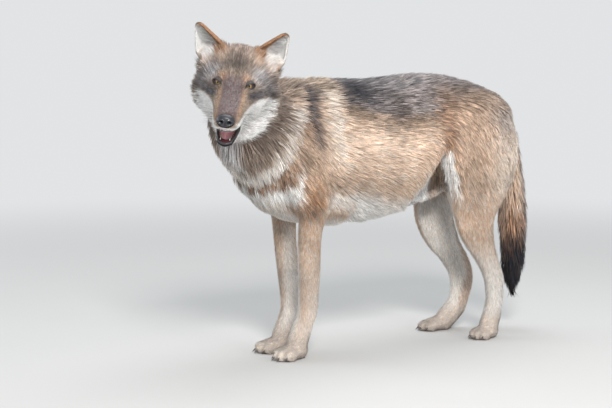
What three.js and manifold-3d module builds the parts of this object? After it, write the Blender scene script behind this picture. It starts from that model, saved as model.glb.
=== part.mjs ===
// A standing grey wolf at life size, in millimetres, +Z up. It faces -Y, and its left side is +X.
// Each part of the body is lofted: a row of oval sections along a bent line, out to the tips of the coat.
// Where two parts meet, one is cut back from the other by a thin gap, so that they touch and never overlap.
import * as THREE from "three";
import { mergeVertices } from "three/addons/utils/BufferGeometryUtils.js";
import Module from "manifold-3d";

const wasm = await Module();
wasm.setup();

// ---- driving dimensions ----
const cutGap = 1.4; // between two parts that meet
const flatness = 0.65; // how far a facet may stray when neighbours are merged into it
const headPlace = new THREE.Vector3(103, -240, 795); // back of the skull, over the neck
const headTurn = { left: 53, down: 24, tilt: 8 }; // degrees: towards its left, nose down, left ear down
const gape = 11; // degrees that the lower jaw hangs open
const jawHinge = { y: -48, z: -46 };
const eyeballRadius = 12.5;
const eyePlace = { x: 43.5, y: -112, z: 24 };
const nosePlace = { y: -253, z: -11 };
const earRoot = { x: 75, y: -6, z: 52 };
const earTip = { x: 119, y: -2, z: 137 };
const legCuts = { wrist: 118, elbow: 392, hock: 156, knee: 372 }; // heights
const toeOut = 11; // degrees that the paws turn away from the middle

const up = new THREE.Vector3(0, 0, 1);
const ahead = new THREE.Vector3(0, -1, 0);
const astern = new THREE.Vector3(0, 1, 0);
const degrees = THREE.MathUtils.degToRad;

// ---- lofting ----
// A section has its centre, its half-width, how far it reaches with and against the loft's lift
// direction, and how boxy it is: 2 is an oval.
const section = (x, y, z, wide, over, under = over, boxy = 2) => [x, y, z, wide, over, under, boxy];

function between(rows, at) {
  const i = Math.min(Math.floor(at), rows.length - 2);
  const t = at - i;
  const row = (k) => rows[Math.max(0, Math.min(rows.length - 1, k))];
  const [a, b, c, d] = [row(i - 1), row(i), row(i + 1), row(i + 2)];
  return b.map((from, k) => {
    const [p, q, r] = [a[k], c[k], d[k]];
    return from + 0.5 * t * (q - p + t * (2 * p - 5 * from + 4 * q - r + t * (3 * (from - q) + r - p)));
  });
}

// The sections stand across the bent line, or across a fixed direction where one is given.
function loft(rows, lift, { sides = 20, steps = 2, grow = 0, across: fixed } = {}) {
  const count = (rows.length - 1) * steps;
  const spots = Array.from({ length: count + 1 }, (_, i) => between(rows, i / steps));
  const centres = spots.map(([x, y, z]) => new THREE.Vector3(x, y, z));
  const points = [];
  spots.forEach(([, , , wide, over, under, boxy], i) => {
    const along = fixed
      ?? centres[Math.min(i + 1, count)].clone().sub(centres[Math.max(i - 1, 0)]).normalize();
    const rise = lift.clone().addScaledVector(along, -lift.dot(along)).normalize();
    const across = rise.clone().cross(along);
    for (let k = 0; k < sides; k++) {
      const angle = (k / sides) * 2 * Math.PI;
      const [c, s] = [Math.cos(angle), Math.sin(angle)];
      const round = (v) => Math.sign(v) * Math.abs(v) ** (2 / boxy);
      const reach = Math.max(s > 0 ? over : under, 1) + grow;
      points.push(
        centres[i].clone()
          .addScaledVector(across, (Math.max(wide, 1) + grow) * round(c))
          .addScaledVector(rise, reach * round(s)),
      );
    }
  });
  points.push(centres[0], centres[count]);
  const faces = [];
  for (let k = 0; k < sides; k++) {
    const next = (k + 1) % sides;
    for (let i = 0; i < count; i++) {
      const [a, b] = [i * sides + k, i * sides + next];
      faces.push(a, b, b + sides, a, b + sides, a + sides);
    }
    faces.push(points.length - 2, next, k);
    faces.push(points.length - 1, count * sides + k, count * sides + next);
  }
  return new THREE.BufferGeometry().setFromPoints(points).setIndex(faces);
}

// ---- solids: joining and cutting ----
function solid(geometry) {
  const bare = geometry.clone();
  bare.deleteAttribute("normal");
  bare.deleteAttribute("uv");
  const merged = mergeVertices(bare, 1e-3);
  const triVerts = new Uint32Array(merged.index.array);
  const made = new wasm.Manifold(
    new wasm.Mesh({ numProp: 3, vertProperties: merged.attributes.position.array, triVerts }),
  );
  if (made.volume() > 0) return made;
  for (let i = 0; i < triVerts.length; i += 3) triVerts.subarray(i, i + 3).reverse();
  return new wasm.Manifold(
    new wasm.Mesh({ numProp: 3, vertProperties: merged.attributes.position.array, triVerts }),
  );
}

const join = (...solids) => solids.reduce((sum, one) => sum.add(one));
const largest = (made) => made.decompose().reduce((best, one) => (one.volume() > best.volume() ? one : best));
const placed = (made, matrix) => made.transform(matrix.elements);

function ellipsoid(x, y, z, wide, deep, high, { grow = 0, detail = 14 } = {}) {
  const ball = new THREE.SphereGeometry(1, detail, Math.round(detail * 0.7));
  ball.scale(wide + grow, deep + grow, high + grow);
  ball.translate(x, y, z);
  return solid(ball);
}

function geometryOf(made) {
  const mesh = made.getMesh();
  return new THREE.BufferGeometry()
    .setAttribute("position", new THREE.BufferAttribute(new Float32Array(mesh.vertProperties), 3))
    .setIndex(new THREE.BufferAttribute(new Uint32Array(mesh.triVerts), 1));
}

// ---- coat colours ----
const finish = (color, roughness) => new THREE.MeshStandardMaterial({ color, roughness, metalness: 0 });
const coats = {
  grizzled: finish("#8d7c69", 0.9),
  tan: finish("#b3916c", 0.9),
  pale: finish("#cbb79c", 0.9),
  ear: finish("#9a7250", 0.85),
};
const wet = {
  nose: finish("#15151a", 0.35),
  tongue: finish("#c4626c", 0.4),
  eye: finish("#b98a3a", 0.08),
};

const wolf = new THREE.Group();
const add = (group, name, made, material, stray = flatness) => {
  const mesh = new THREE.Mesh(geometryOf(largest(made).simplify(stray)), material);
  mesh.name = name;
  group.add(mesh);
};

// ---- trunk: stations from the breast to the rump ----
// Each row is a distance behind the forelegs, the top line, the belly line, the half-width and, where
// the flanks are drawn in, how boxy the section is.
const trunkRows = [
  [-206, 572, 534, 10],
  [-197, 612, 506, 42],
  [-172, 672, 470, 74],
  [-118, 732, 424, 104],
  [-45, 770, 382, 123],
  [50, 784, 362, 134],
  [140, 778, 356, 138],
  [230, 776, 364, 138],
  [310, 784, 378, 133],
  [380, 791, 394, 127, 2],
  [450, 791, 412, 122, 1.9],
  [520, 782, 444, 120, 1.95],
  [590, 764, 490, 117],
  [645, 744, 532, 110],
  [692, 721, 566, 94],
  [722, 696, 590, 66],
  [737, 668, 616, 24],
];
const trunkShape = (grow = 0) =>
  solid(loft(
    trunkRows.map(([y, top, belly, wide, boxy = 2.15]) => section(0, y, (top + belly) / 2, wide,
      (top - belly) / 2, (top - belly) / 2, boxy)),
    up, { sides: 22, steps: 1, grow, across: astern },
  ));

// ---- neck with its ruff, bending from the shoulders to the turned head ----
const neckRows = [
  section(0, 110, 630, 40, 60, 60),
  section(0, 50, 636, 98, 116, 110),
  section(0, -34, 640, 122, 142, 158),
  section(10, -104, 646, 125, 135, 168),
  section(38, -164, 674, 120, 116, 160),
  section(66, -204, 714, 112, 98, 132),
  section(86, -226, 754, 108, 84, 110),
  section(100, -236, 790, 86, 60, 84),
];
const neckSlope = new THREE.Vector3(0, -0.86, 0.51); // the cut between neck and trunk leans forward
const neckCut = neckSlope.dot(new THREE.Vector3(0, 10, 780));
const bodyShape = (grow = 0) =>
  trunkShape(grow).add(solid(loft(neckRows, up, { sides: 18, steps: 2, grow })));

// ---- tail, hanging from the rump ----
const tailRows = [
  section(0, 640, 700, 22, 22, 24),
  section(0, 690, 686, 38, 36, 36),
  section(0, 722, 648, 42, 38, 38),
  section(0, 742, 590, 44, 38, 40),
  section(0, 756, 510, 46, 40, 44),
  section(0, 768, 410, 48, 46, 46),
  section(0, 774, 310, 48, 48, 46),
  section(0, 776, 232, 40, 42, 42),
  section(0, 774, 170, 24, 26, 26),
  section(0, 772, 126, 7, 8, 7),
];
const tailShape = solid(loft(tailRows, astern, { sides: 12, steps: 1 }));

// ---- legs: rows down the limb, for a left leg; a right one is mirrored by its side ----
const forelegRows = [
  section(70, 20, 700, 22, 36, 36),
  section(84, 0, 650, 42, 74, 66),
  section(94, -26, 580, 48, 94, 82),
  section(98, -30, 510, 46, 86, 86),
  section(95, -10, 455, 41, 62, 68),
  section(85, 2, 410, 37, 44, 46),
  section(76, -3, 360, 31, 36, 37),
  section(71, -3, 300, 28, 34, 36),
  section(66, 0, 240, 26, 34, 35),
  section(59, 2, 166, 25, 31, 32),
  section(54, 0, 125, 26, 30, 32),
  section(52, -12, 88, 26, 29, 29),
  section(51, -27, 48, 28, 32, 30),
  section(51, -32, 12, 26, 34, 26),
];
const thighRows = [
  section(56, 604, 730, 26, 60, 56),
  section(70, 602, 684, 52, 112, 94),
  section(80, 596, 612, 62, 136, 122),
  section(86, 582, 550, 60, 142, 138),
  section(92, 567, 496, 54, 128, 130),
  section(96, 558, 438, 45, 104, 107),
  section(98, 553, 393, 38, 82, 84),
];
const hindlegRows = [
  ...thighRows,
  section(98, 553, 348, 35, 68, 69),
  section(97, 563, 318, 33, 59, 59),
  section(96, 578, 284, 29, 48, 48),
  section(95, 594, 252, 26, 39, 40),
  section(94, 614, 213, 25, 33, 35),
  section(93, 629, 175, 24, 32, 36),
  section(91, 634, 114, 22, 29, 31),
  section(89, 628, 75, 24, 30, 31),
  section(88, 618, 40, 27, 31, 30),
  section(88, 612, 12, 25, 30, 26),
];
// The right hind leg stands with its foot drawn forward under the belly.
const drawnRows = [
  ...thighRows,
  section(97, 546, 348, 35, 70, 71),
  section(96, 558, 318, 34, 64, 65),
  section(95, 577, 280, 31, 55, 58),
  section(94, 606, 240, 28, 44, 46),
  section(92, 633, 200, 27, 42, 46),
  section(91, 646, 168, 26, 42, 46),
  section(90, 647, 138, 24, 40, 44),
  section(89, 640, 103, 24, 34, 37),
  section(88, 624, 67, 25, 33, 36),
  section(87, 590, 36, 27, 33, 33),
  section(87, 566, 12, 25, 33, 28),
];

const pawSizes = {
  fore: { length: 104, width: 84, height: 46 },
  hind: { length: 98, width: 76, height: 42 },
};
const toes = [
  { side: -0.74, reach: 0.66 },
  { side: -0.26, reach: 0.9 },
  { side: 0.26, reach: 0.9 },
  { side: 0.74, reach: 0.66 },
];

// A paw in its own frame: toes towards -Y, sole at z = 0. Claws and pads are part of it.
function pawShape({ length, width, height }, grow = 0) {
  const half = width / 2;
  const pad = solid(loft([
    section(0, length * 0.29, height * 0.42, half * 0.3, height * 0.4),
    section(0, length * 0.16, height * 0.5, half * 0.62, height * 0.56, height * 0.54),
    section(0, -length * 0.12, height * 0.5, half * 0.82, height * 0.52, height * 0.54),
    section(0, -length * 0.38, height * 0.42, half * 0.86, height * 0.42, height * 0.42),
    section(0, -length * 0.56, height * 0.34, half * 0.6, height * 0.26),
  ], up, { sides: 10, steps: 1, grow }));
  const parts = toes.flatMap(({ side, reach }) => {
    const x = side * half * 0.86;
    const y = -reach * length * 0.62;
    const toe = ellipsoid(x, y, height * 0.34, half * 0.27, length * 0.2, height * 0.42, { grow, detail: 6 });
    const claw = new THREE.ConeGeometry(3.8, 20, 4);
    claw.rotateX(degrees(118));
    claw.translate(x, y - length * 0.2 - 3, height * 0.26);
    return [toe, solid(claw)];
  });
  return join(pad, ...parts);
}

const body = bodyShape();
const bodyGrown = bodyShape(cutGap);

const legs = [
  { name: "fore", side: "left", rows: forelegRows, foot: [50, -30], shift: 0 },
  { name: "fore", side: "right", rows: forelegRows, foot: [54, -18], shift: 12 },
  { name: "hind", side: "left", rows: hindlegRows, foot: [88, 618], shift: 0 },
  { name: "hind", side: "right", rows: drawnRows, foot: [87, 568], shift: 0 },
];

// A leg that stands a little further back swings from its top: the shift grows towards the foot.
const swung = (rows, shift) => {
  const top = rows[0][2];
  return rows.map(([x, y, z, ...sizes]) => [x, y + shift * Math.min(1, 1.2 * (1 - z / top)), z, ...sizes]);
};

function addLeg({ name, side, rows, foot, shift }) {
  const hand = side === "left" ? 1 : -1;
  const limb = solid(loft(
    swung(rows, shift).map(([x, ...rest]) => [hand * x, ...rest]), ahead, { sides: 10, steps: name === "hind" ? 1 : 2 },
  ));
  const stance = new THREE.Matrix4().makeRotationZ(degrees(hand * toeOut));
  stance.setPosition(hand * foot[0], foot[1], 0);
  const paw = placed(pawShape(pawSizes[name]), stance);
  const whole = join(limb, paw).trimByPlane([0, 0, 1], 0);
  const [high, low] = name === "fore" ? [legCuts.elbow, legCuts.wrist] : [legCuts.knee, legCuts.hock];
  const free = whole.subtract(bodyGrown);
  const parts = name === "fore"
    ? ["upper_foreleg", "forearm", "forepaw"] : ["thigh", "shank", "hind_foot"];
  const half = cutGap / 2;
  const layers = [
    free.trimByPlane([0, 0, 1], high + half),
    free.trimByPlane([0, 0, 1], low + half).trimByPlane([0, 0, -1], -(high - half)),
    free.trimByPlane([0, 0, -1], -(low - half)),
  ];
  layers.forEach((layer, i) => {
    add(wolf, `${parts[i]}_${side}`, layer, i ? coats.pale : coats.tan, i === 2 ? 1 : flatness);
  });
}

// ---- head, in its own frame: the muzzle points to -Y, the origin is at the back of the skull ----
const skullRows = [
  section(0, 56, -22, 40, 46, 60),
  section(0, 38, -26, 90, 96, 86),
  section(0, 6, -34, 114, 122, 106),
  section(0, -28, -40, 123, 123, 106),
  section(0, -58, -40, 119, 115, 96),
  section(0, -84, -30, 100, 94, 80),
  section(0, -106, -19, 79, 73, 67),
  section(0, -124, -14, 62, 54, 56),
  section(0, -142, -14, 51, 39, 54, 2.1),
  section(0, -168, -15, 45, 31, 46, 2.3),
  section(0, -200, -16, 40, 27, 38, 2.5),
  section(0, -230, -18, 35, 24, 30, 2.5),
  section(0, -250, -20, 30, 20, 24, 2.3),
  section(0, -260, -22, 21, 13, 15),
  section(0, -264, -23, 9, 6, 7),
];
const jawRows = [
  section(0, -40, -62, 46, 20, 36),
  section(0, -84, -64, 44, 20, 31),
  section(0, -130, -60, 38, 17, 25, 2.3),
  section(0, -176, -54, 32, 12, 20, 2.4),
  section(0, -214, -50, 27, 9, 16, 2.4),
  section(0, -236, -48, 22, 8, 13, 2.2),
  section(0, -247, -49, 10, 5, 7),
];
const jawShape = (grow = 0) => solid(loft(jawRows, up, { sides: 12, steps: 1, grow }));
const tongueRows = [
  section(0, -96, -61, 20, 7, 7),
  section(0, -140, -59, 24, 7, 6),
  section(0, -180, -56, 22, 6, 5),
  section(0, -208, -51, 17, 5, 4),
  section(0, -222, -48, 8, 2, 2),
];
const hung = new THREE.Matrix4()
  .makeTranslation(0, jawHinge.y, jawHinge.z)
  .multiply(new THREE.Matrix4().makeRotationX(degrees(gape)))
  .multiply(new THREE.Matrix4().makeTranslation(0, -jawHinge.y, -jawHinge.z));

const eyeBall = (hand, grow = 0) =>
  ellipsoid(hand * eyePlace.x, eyePlace.y, eyePlace.z, eyeballRadius, eyeballRadius, eyeballRadius,
    { grow, detail: 10 });

function tooth(x, y, z, radius, length, points) {
  const cone = new THREE.ConeGeometry(radius, length, 4);
  cone.rotateX(degrees(points === "up" ? 90 : -90));
  cone.translate(x, y, z);
  return solid(cone);
}

const toothRow = (jaw, z, points) => [1, -1].flatMap((hand) => [
  tooth(hand * 17, jaw, z, 3.6, 20, points),
  ...[4, 10].map((x) => tooth(hand * x, jaw - 8, z, 2.4, 10, points)),
]);

// The cup of an ear: a pointed outer loft with a smaller one taken out of its front.
const earRows = [ // share of the height, half-width, depth behind the opening
  [-0.12, 42, 26],
  [0.12, 44, 28],
  [0.36, 36, 22],
  [0.6, 26, 15],
  [0.8, 18, 9],
  [0.93, 12, 6],
  [1, 5, 3],
];
const earWall = 5;

function earShape(hand) {
  const root = new THREE.Vector3(hand * earRoot.x, earRoot.y, earRoot.z);
  const tip = new THREE.Vector3(hand * earTip.x, earTip.y, earTip.z);
  const facing = new THREE.Vector3(hand * 0.3, -1, 0.1);
  const cup = (sizes) => earRows.slice(...sizes.rows).map(([share, wide, deep]) => {
    const { x, y, z } = root.clone().lerp(tip, share);
    return section(x, y, z, wide - sizes.wall, sizes.front, deep - sizes.wall);
  });
  const outer = loft(cup({ rows: [0], wall: 0, front: 9 }), facing, { sides: 11, steps: 1 });
  const hollow = loft(cup({ rows: [1, 6], wall: earWall, front: 40 }), facing, { sides: 9, steps: 1 });
  return solid(outer).subtract(solid(hollow));
}

function headParts() {
  const skull = (grow = 0) => solid(loft(skullRows, up, { sides: 18, steps: 2, grow, across: ahead }));
  const nose = (grow = 0) => ellipsoid(0, nosePlace.y, nosePlace.z, 22.5, 16, 17, { grow, detail: 11 });
  const jaw = placed(jawShape(), hung);
  const tongue = (grow = 0) => placed(solid(loft(tongueRows, up, { sides: 10, steps: 1, grow })), hung);
  const palate = ellipsoid(0, -196, -56, 25, 62, 24, { detail: 8 });
  const lowerRow = placed(join(...toothRow(-224, -42, "up")), hung);
  const trough = placed(ellipsoid(0, -160, -42, 22, 72, 16, { detail: 8 }), hung);
  const lids = [1, -1].map((hand) =>
    ellipsoid(hand * (eyePlace.x + 1), eyePlace.y + 6, eyePlace.z + 1, 21, 18, 15, { detail: 8 }));
  const face = join(skull(), ...lids);
  const ears = { left: earShape(1), right: earShape(-1) };
  const upper = face.subtract(palate).add(join(...toothRow(-226, -42, "down")));
  return { face, upper, jaw, tongue, trough, lowerRow, nose, ears };
}

const head = new THREE.Group();
head.position.copy(headPlace);
head.rotation.set(degrees(headTurn.down), degrees(headTurn.tilt), degrees(headTurn.left), "ZXY");
head.updateMatrix();
wolf.add(head);

const parts = headParts();
const grownFace = solid(loft(skullRows, up, { sides: 18, steps: 2, grow: cutGap, across: ahead }));
const sockets = join(eyeBall(1, cutGap), eyeBall(-1, cutGap), parts.nose(cutGap));
add(head, "head", parts.upper.subtract(sockets), coats.grizzled, 0.3);
add(head, "lower_jaw", parts.jaw.subtract(parts.trough).add(parts.lowerRow).subtract(parts.tongue(cutGap))
  .subtract(grownFace), coats.pale);
add(head, "tongue", parts.tongue().subtract(grownFace), wet.tongue);
add(head, "nose", parts.nose(), wet.nose);
for (const [side, hand] of [["left", 1], ["right", -1]]) {
  add(head, `eye_${side}`, eyeBall(hand), wet.eye);
  add(head, `ear_${side}`, parts.ears[side].subtract(grownFace), coats.ear);
}

// ---- the body, each part cut back from the one it meets ----
const headInPlace = placed(join(grownFace, placed(jawShape(cutGap), hung), parts.tongue(cutGap)), head.matrix);
const slope = neckSlope.toArray();
const slopeBack = slope.map((v) => -v);
add(wolf, "neck", body.trimByPlane(slope, neckCut + cutGap / 2).subtract(headInPlace), coats.grizzled, 0.3);
add(wolf, "trunk", body.trimByPlane(slopeBack, cutGap / 2 - neckCut), coats.grizzled);
add(wolf, "tail", tailShape.subtract(bodyGrown), coats.grizzled);
legs.forEach(addLeg);

// ---- origin at the middle of the box, on the floor ----
wolf.updateMatrixWorld(true);
const box = new THREE.Box3().setFromObject(wolf, true);
const middle = box.getCenter(new THREE.Vector3());
wolf.position.set(-middle.x, -middle.y, -box.min.z);

export default wolf;
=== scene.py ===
# A standing grey wolf at life size: one skin over the whole body, fur in solid tufts over it,
# and eyes, nose, tongue, teeth, claws and whiskers as pieces of their own.
import math

import bmesh
import bpy
import numpy as np
from mathutils import Matrix, Vector
from mathutils.kdtree import KDTree


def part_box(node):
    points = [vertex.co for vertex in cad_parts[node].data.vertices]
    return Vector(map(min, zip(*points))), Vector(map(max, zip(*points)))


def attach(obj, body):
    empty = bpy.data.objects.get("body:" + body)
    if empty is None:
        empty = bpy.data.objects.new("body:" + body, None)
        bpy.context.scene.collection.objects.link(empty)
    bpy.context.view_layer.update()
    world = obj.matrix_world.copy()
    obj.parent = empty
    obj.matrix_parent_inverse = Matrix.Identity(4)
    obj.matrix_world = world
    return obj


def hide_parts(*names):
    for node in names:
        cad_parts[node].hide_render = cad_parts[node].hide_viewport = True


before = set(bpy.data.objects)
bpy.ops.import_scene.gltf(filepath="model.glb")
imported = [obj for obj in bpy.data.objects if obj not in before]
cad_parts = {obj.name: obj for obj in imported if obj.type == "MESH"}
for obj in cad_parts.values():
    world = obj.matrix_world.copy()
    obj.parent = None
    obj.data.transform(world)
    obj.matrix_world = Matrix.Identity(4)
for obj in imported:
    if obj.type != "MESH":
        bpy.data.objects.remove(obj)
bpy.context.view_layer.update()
scene = bpy.context.scene
print("frame: loaded")


# the body's own frame and the head's own frame, both in millimetres
def middleOf(node):
    low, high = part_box(node)
    return (np.array(low) + np.array(high)) / 2


bodyPlace = {"rumpEnd": 737.0}  # how far the rump ends behind the forelegs, which stand at zero
trunkLow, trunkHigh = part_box("trunk")
bodyOrigin = np.array([(trunkLow[0] + trunkHigh[0]) / 2, trunkHigh[1] - bodyPlace["rumpEnd"] / 1000, 0.0])


def toBody(points):
    return (points - bodyOrigin) * 1000


def fromBody(points):
    return np.asarray(points, float) / 1000 + bodyOrigin


headPlace = {"eye": (43.5, -112.0, 24.0), "nose": (0.0, -253.0, -11.0)}  # muzzle towards -Y, left eye at +X


def headAxes():
    eyes = [middleOf("eye_left"), middleOf("eye_right")]
    between = (eyes[0] + eyes[1]) / 2
    across = eyes[0] - eyes[1]
    across /= np.linalg.norm(across)
    toNose = middleOf("nose") - between
    toNose -= across * (toNose @ across)
    toNose /= np.linalg.norm(toNose)
    dip = math.atan2(headPlace["eye"][2] - headPlace["nose"][2], headPlace["eye"][1] - headPlace["nose"][1])
    under = np.cross(across, toNose)
    back = -math.cos(dip) * toNose + math.sin(dip) * under
    top = -math.sin(dip) * toNose - math.cos(dip) * under
    turn = np.stack([across, back, top])
    return turn, between - np.array([0, headPlace["eye"][1], headPlace["eye"][2]]) / 1000 @ turn


headTurn, headOrigin = headAxes()


def toHead(points):
    return (points - headOrigin) @ headTurn.T * 1000


def fromHead(points):
    return np.asarray(points, float) / 1000 @ headTurn + headOrigin


# soft steps and spots, from which depths, lies and markings are made
def ramp(value, low, high):
    t = np.clip((value - low) / (high - low), 0, 1)
    return t * t * (3 - 2 * t)


def sided(points):  # left and right alike
    return np.column_stack([np.abs(points[:, 0]), points[:, 1:]])


def spot(points, centre, radii):  # soft, and the same on the left and on the right
    away = (sided(points) - np.array(centre, float)) / np.array(radii, float)
    return np.exp(-(away ** 2).sum(1))


def span(value, low, full, still, high):  # rises from low to full, and falls again from still to high
    return ramp(value, low, full) * (1 - ramp(value, still, high))


def unit(vectors):
    return vectors / np.maximum(np.linalg.norm(vectors, axis=1, keepdims=True), 1e-9)


# meshes as arrays
def numbersOf(items, name, kind, width=1):
    found = np.empty(len(items) * width, kind)
    items.foreach_get(name, found)
    return found.reshape(-1, width) if width > 1 else found


def pointsOf(mesh):
    return numbersOf(mesh.vertices, "co", np.float32, 3).astype(float)


def cornersOf(mesh, sides):  # the vertices of each face
    return numbersOf(mesh.loops, "vertex_index", np.int32).reshape(-1, sides)


def edgesOf(mesh):
    return numbersOf(mesh.edges, "vertices", np.int32, 2)


def movePoints(mesh, points):
    mesh.vertices.foreach_set("co", points.astype(np.float32).ravel())
    mesh.update()


def setLayer(mesh, name, values, kind="FLOAT", field="value"):
    layer = mesh.attributes.new(name, kind, "POINT")
    layer.data.foreach_set(field, np.asarray(values, np.float32).ravel())


def setColours(mesh, name, colours):
    setLayer(mesh, name, np.column_stack([colours, np.ones(len(colours))]), "FLOAT_COLOR", "color")


def meshFrom(name, points, triangles, smooth=True):
    mesh = bpy.data.meshes.new(name)
    mesh.vertices.add(len(points))
    mesh.vertices.foreach_set("co", np.asarray(points, np.float32).ravel())
    mesh.loops.add(len(triangles) * 3)
    mesh.loops.foreach_set("vertex_index", np.asarray(triangles, np.int32).ravel())
    mesh.polygons.add(len(triangles))
    mesh.polygons.foreach_set("loop_start", np.arange(len(triangles), dtype=np.int32) * 3)
    mesh.polygons.foreach_set("use_smooth", np.full(len(triangles), smooth))
    mesh.update(calc_edges=True)
    return mesh


def objectOf(name, data):
    made = bpy.data.objects.new(name, data)
    scene.collection.objects.link(made)
    return made


def applied(made, *modifiers):
    for kind, settings in modifiers:
        modifier = made.modifiers.new(kind.lower(), kind)
        for key, value in settings.items():
            setattr(modifier, key, value)
    mesh = bpy.data.meshes.new_from_object(made.evaluated_get(bpy.context.evaluated_depsgraph_get()))
    made.modifiers.clear()
    old, made.data = made.data, mesh
    bpy.data.meshes.remove(old)
    return made


def normalsOf(points, faces):
    corners = points[faces]
    flat = np.cross(corners[:, 1] - corners[:, 0], corners[:, 2] - corners[:, 0])
    sides = faces.shape[1]
    if sides == 4:
        flat += np.cross(corners[:, 2] - corners[:, 0], corners[:, 3] - corners[:, 0])
    return unit(np.stack([np.bincount(faces.ravel(), np.repeat(axis, sides), len(points)) for axis in flat.T], 1))


def spread(values, edges, share, rounds):  # each vertex moves towards its neighbours' average
    a, b = edges.T
    count = len(values)
    degree = np.maximum(np.bincount(edges.ravel(), minlength=count), 1)[:, None]
    share = np.broadcast_to(share, count)[:, None]
    for _ in range(rounds):
        total = np.stack([np.bincount(a, v[b], count) + np.bincount(b, v[a], count) for v in values.T], 1)
        values = values + share * (total / degree - values)
    return values


def eased(points, edges, weight, rounds):  # smooths without shrinking
    for _ in range(rounds):
        points = spread(points, edges, 0.6 * weight, 1)
        points = spread(points, edges, -0.62 * weight, 1)
    return points


# regions of the body, each a share from 0 to 1
tailLine = {"heights": (126, 170, 310, 510, 590, 648, 686, 700), "behind": (772, 774, 774, 756, 742, 722, 690, 640)}
earLine = {"root": (75, -6, 52), "tip": (119, -2, 137), "reach": 52, "half": 44.0, "outward": (0.846, 0.211, -0.447)}
flankFold = {"from": (330.0, 425.0), "to": (445.0, 612.0), "depth": 42.0}  # the fold of skin from belly to knee
thighFront = {"heights": (395, 470, 540, 620, 698), "behind": (486, 470, 455, 442, 433)}
earRoot = np.array(earLine["root"], float)
earRun = np.array(earLine["tip"], float) - earRoot


def alongEar(h):
    away = sided(h) - earRoot
    return away, away @ earRun / (earRun @ earRun)


def earShare(h):
    away, along = alongEar(h)
    gap = np.linalg.norm(away - np.clip(along, 0, 1)[:, None] * earRun, axis=1)
    skull = np.hypot(h[:, 0] / 112, (h[:, 2] + 34) / 120)
    return (1 - ramp(gap, earLine["reach"] - 6, earLine["reach"])) * ramp(skull, 0.985, 1.03) * ramp(h[:, 2], 8, 22)


def earPlace(h):  # along the ear from root to tip, and across it towards the outer edge
    away, along = alongEar(h)
    half = earLine["half"] * np.clip(1 - along, 0.02, 1) ** 0.75
    return along, away @ np.array(earLine["outward"]) / half


def mirrored(vectors, h):  # turned over on the right side of the head
    return vectors * np.column_stack([np.sign(h[:, 0]), np.ones(len(h)), np.ones(len(h))])


def inwardOf(facing, h):  # the inside of the ear's cup
    outward = mirrored(facing, h) @ np.array(earLine["outward"])
    return ramp(-facing[:, 1], -0.25, 0.1) * (1 - ramp(outward, 0.4, 0.7)) * ramp(earPlace(h)[1], -0.5, -0.3)


def behindLine(p, line):  # how far a point lies behind a line drawn down the side
    return p[:, 1] - np.interp(p[:, 2], line["heights"], line["behind"])


def pastFold(p):
    start, end = np.array(flankFold["from"]), np.array(flankFold["to"])
    ahead = (end - start) / np.linalg.norm(end - start)
    return (p[:, 1] - start[0]) * ahead[1] - (p[:, 2] - start[1]) * ahead[0]


def groinShare(p):  # the hollow behind the fold of the flank and in front of the thigh
    ahead = 1 - ramp(behindLine(p, thighFront), -16, 6)
    return ramp(pastFold(p), 0, 26) * ahead * ramp(p[:, 2], 380, 420) * (1 - ramp(p[:, 2], 585, 615))


def regionsOf(points, normals=None):
    p, h = toBody(points), toHead(points)
    y, z = p[:, 1], p[:, 2]
    headBall = np.linalg.norm((h - [0, -75, -22]) / [132, 215, 118], axis=1)
    inHead = 1 - ramp(headBall, 0.98, 1.15)
    tailGap = np.hypot(p[:, 0], behindLine(p, tailLine))
    ruff = ramp(spot(h, (98, -62, -52), (42, 52, 46)), 0.25, 0.75)
    inEar = 0 * y
    if normals is not None:
        facing = normals @ headTurn.T
        along, across = earPlace(h)
        inEar = earShare(h) * np.maximum(ramp(-facing[:, 1], 0.25, 0.6), inwardOf(facing, h))
        inEar = inEar * ramp(across, -0.62, -0.4) * (1 - ramp(along, 0.62, 0.8)) * (1 - ramp(across, 0.25, 0.6))
    return {
        "head": 1 - ramp(headBall, 0.86, 1.14),
        "crown": ramp(h[:, 2] - 0.25 * h[:, 1], 52, 88) * inHead,
        "face": ramp(-h[:, 1], 58, 112) * (1 - ruff) * inHead,
        "ruff": ruff * (1 - ramp(headBall, 0.9, 1.2)),
        "muzzle": ramp(-h[:, 1], 122, 160) * inHead,
        "eye": ramp(spot(h, headPlace["eye"], (17, 17, 13)), 0.15, 0.5),
        "ear": earShare(h),
        "inEar": inEar,
        "neck": ramp(-(y * 0.86 - (z - 780) * 0.51), -30, 60),
        "tail": (1 - ramp(tailGap, 46, 66)) * ramp(y, 690, 742),
        "tailEnd": (1 - ramp(z, 130, 250)) * ramp(y, 690, 742),
        "fore": (1 - ramp(z, 395, 455)) * (1 - ramp(y, 110, 150)),
        "hind": (1 - ramp(z, 375, 470)) * ramp(y, 420, 470) * (1 - ramp(y, 700, 720)),
        "paw": 1 - ramp(z, 48, 95),
        "thigh": spot(p, (95, 575, 545), (60, 150, 190)),
        "shoulder": spot(p, (105, -15, 545), (60, 85, 190)),
        "back": ramp(z, 640, 760) * ramp(y, -40, 40),
        "belly": (1 - ramp(z, 395, 470)) * ramp(y, 30, 80) * (1 - ramp(y, 520, 600)),
        "groin": groinShare(p),
    }


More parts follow.
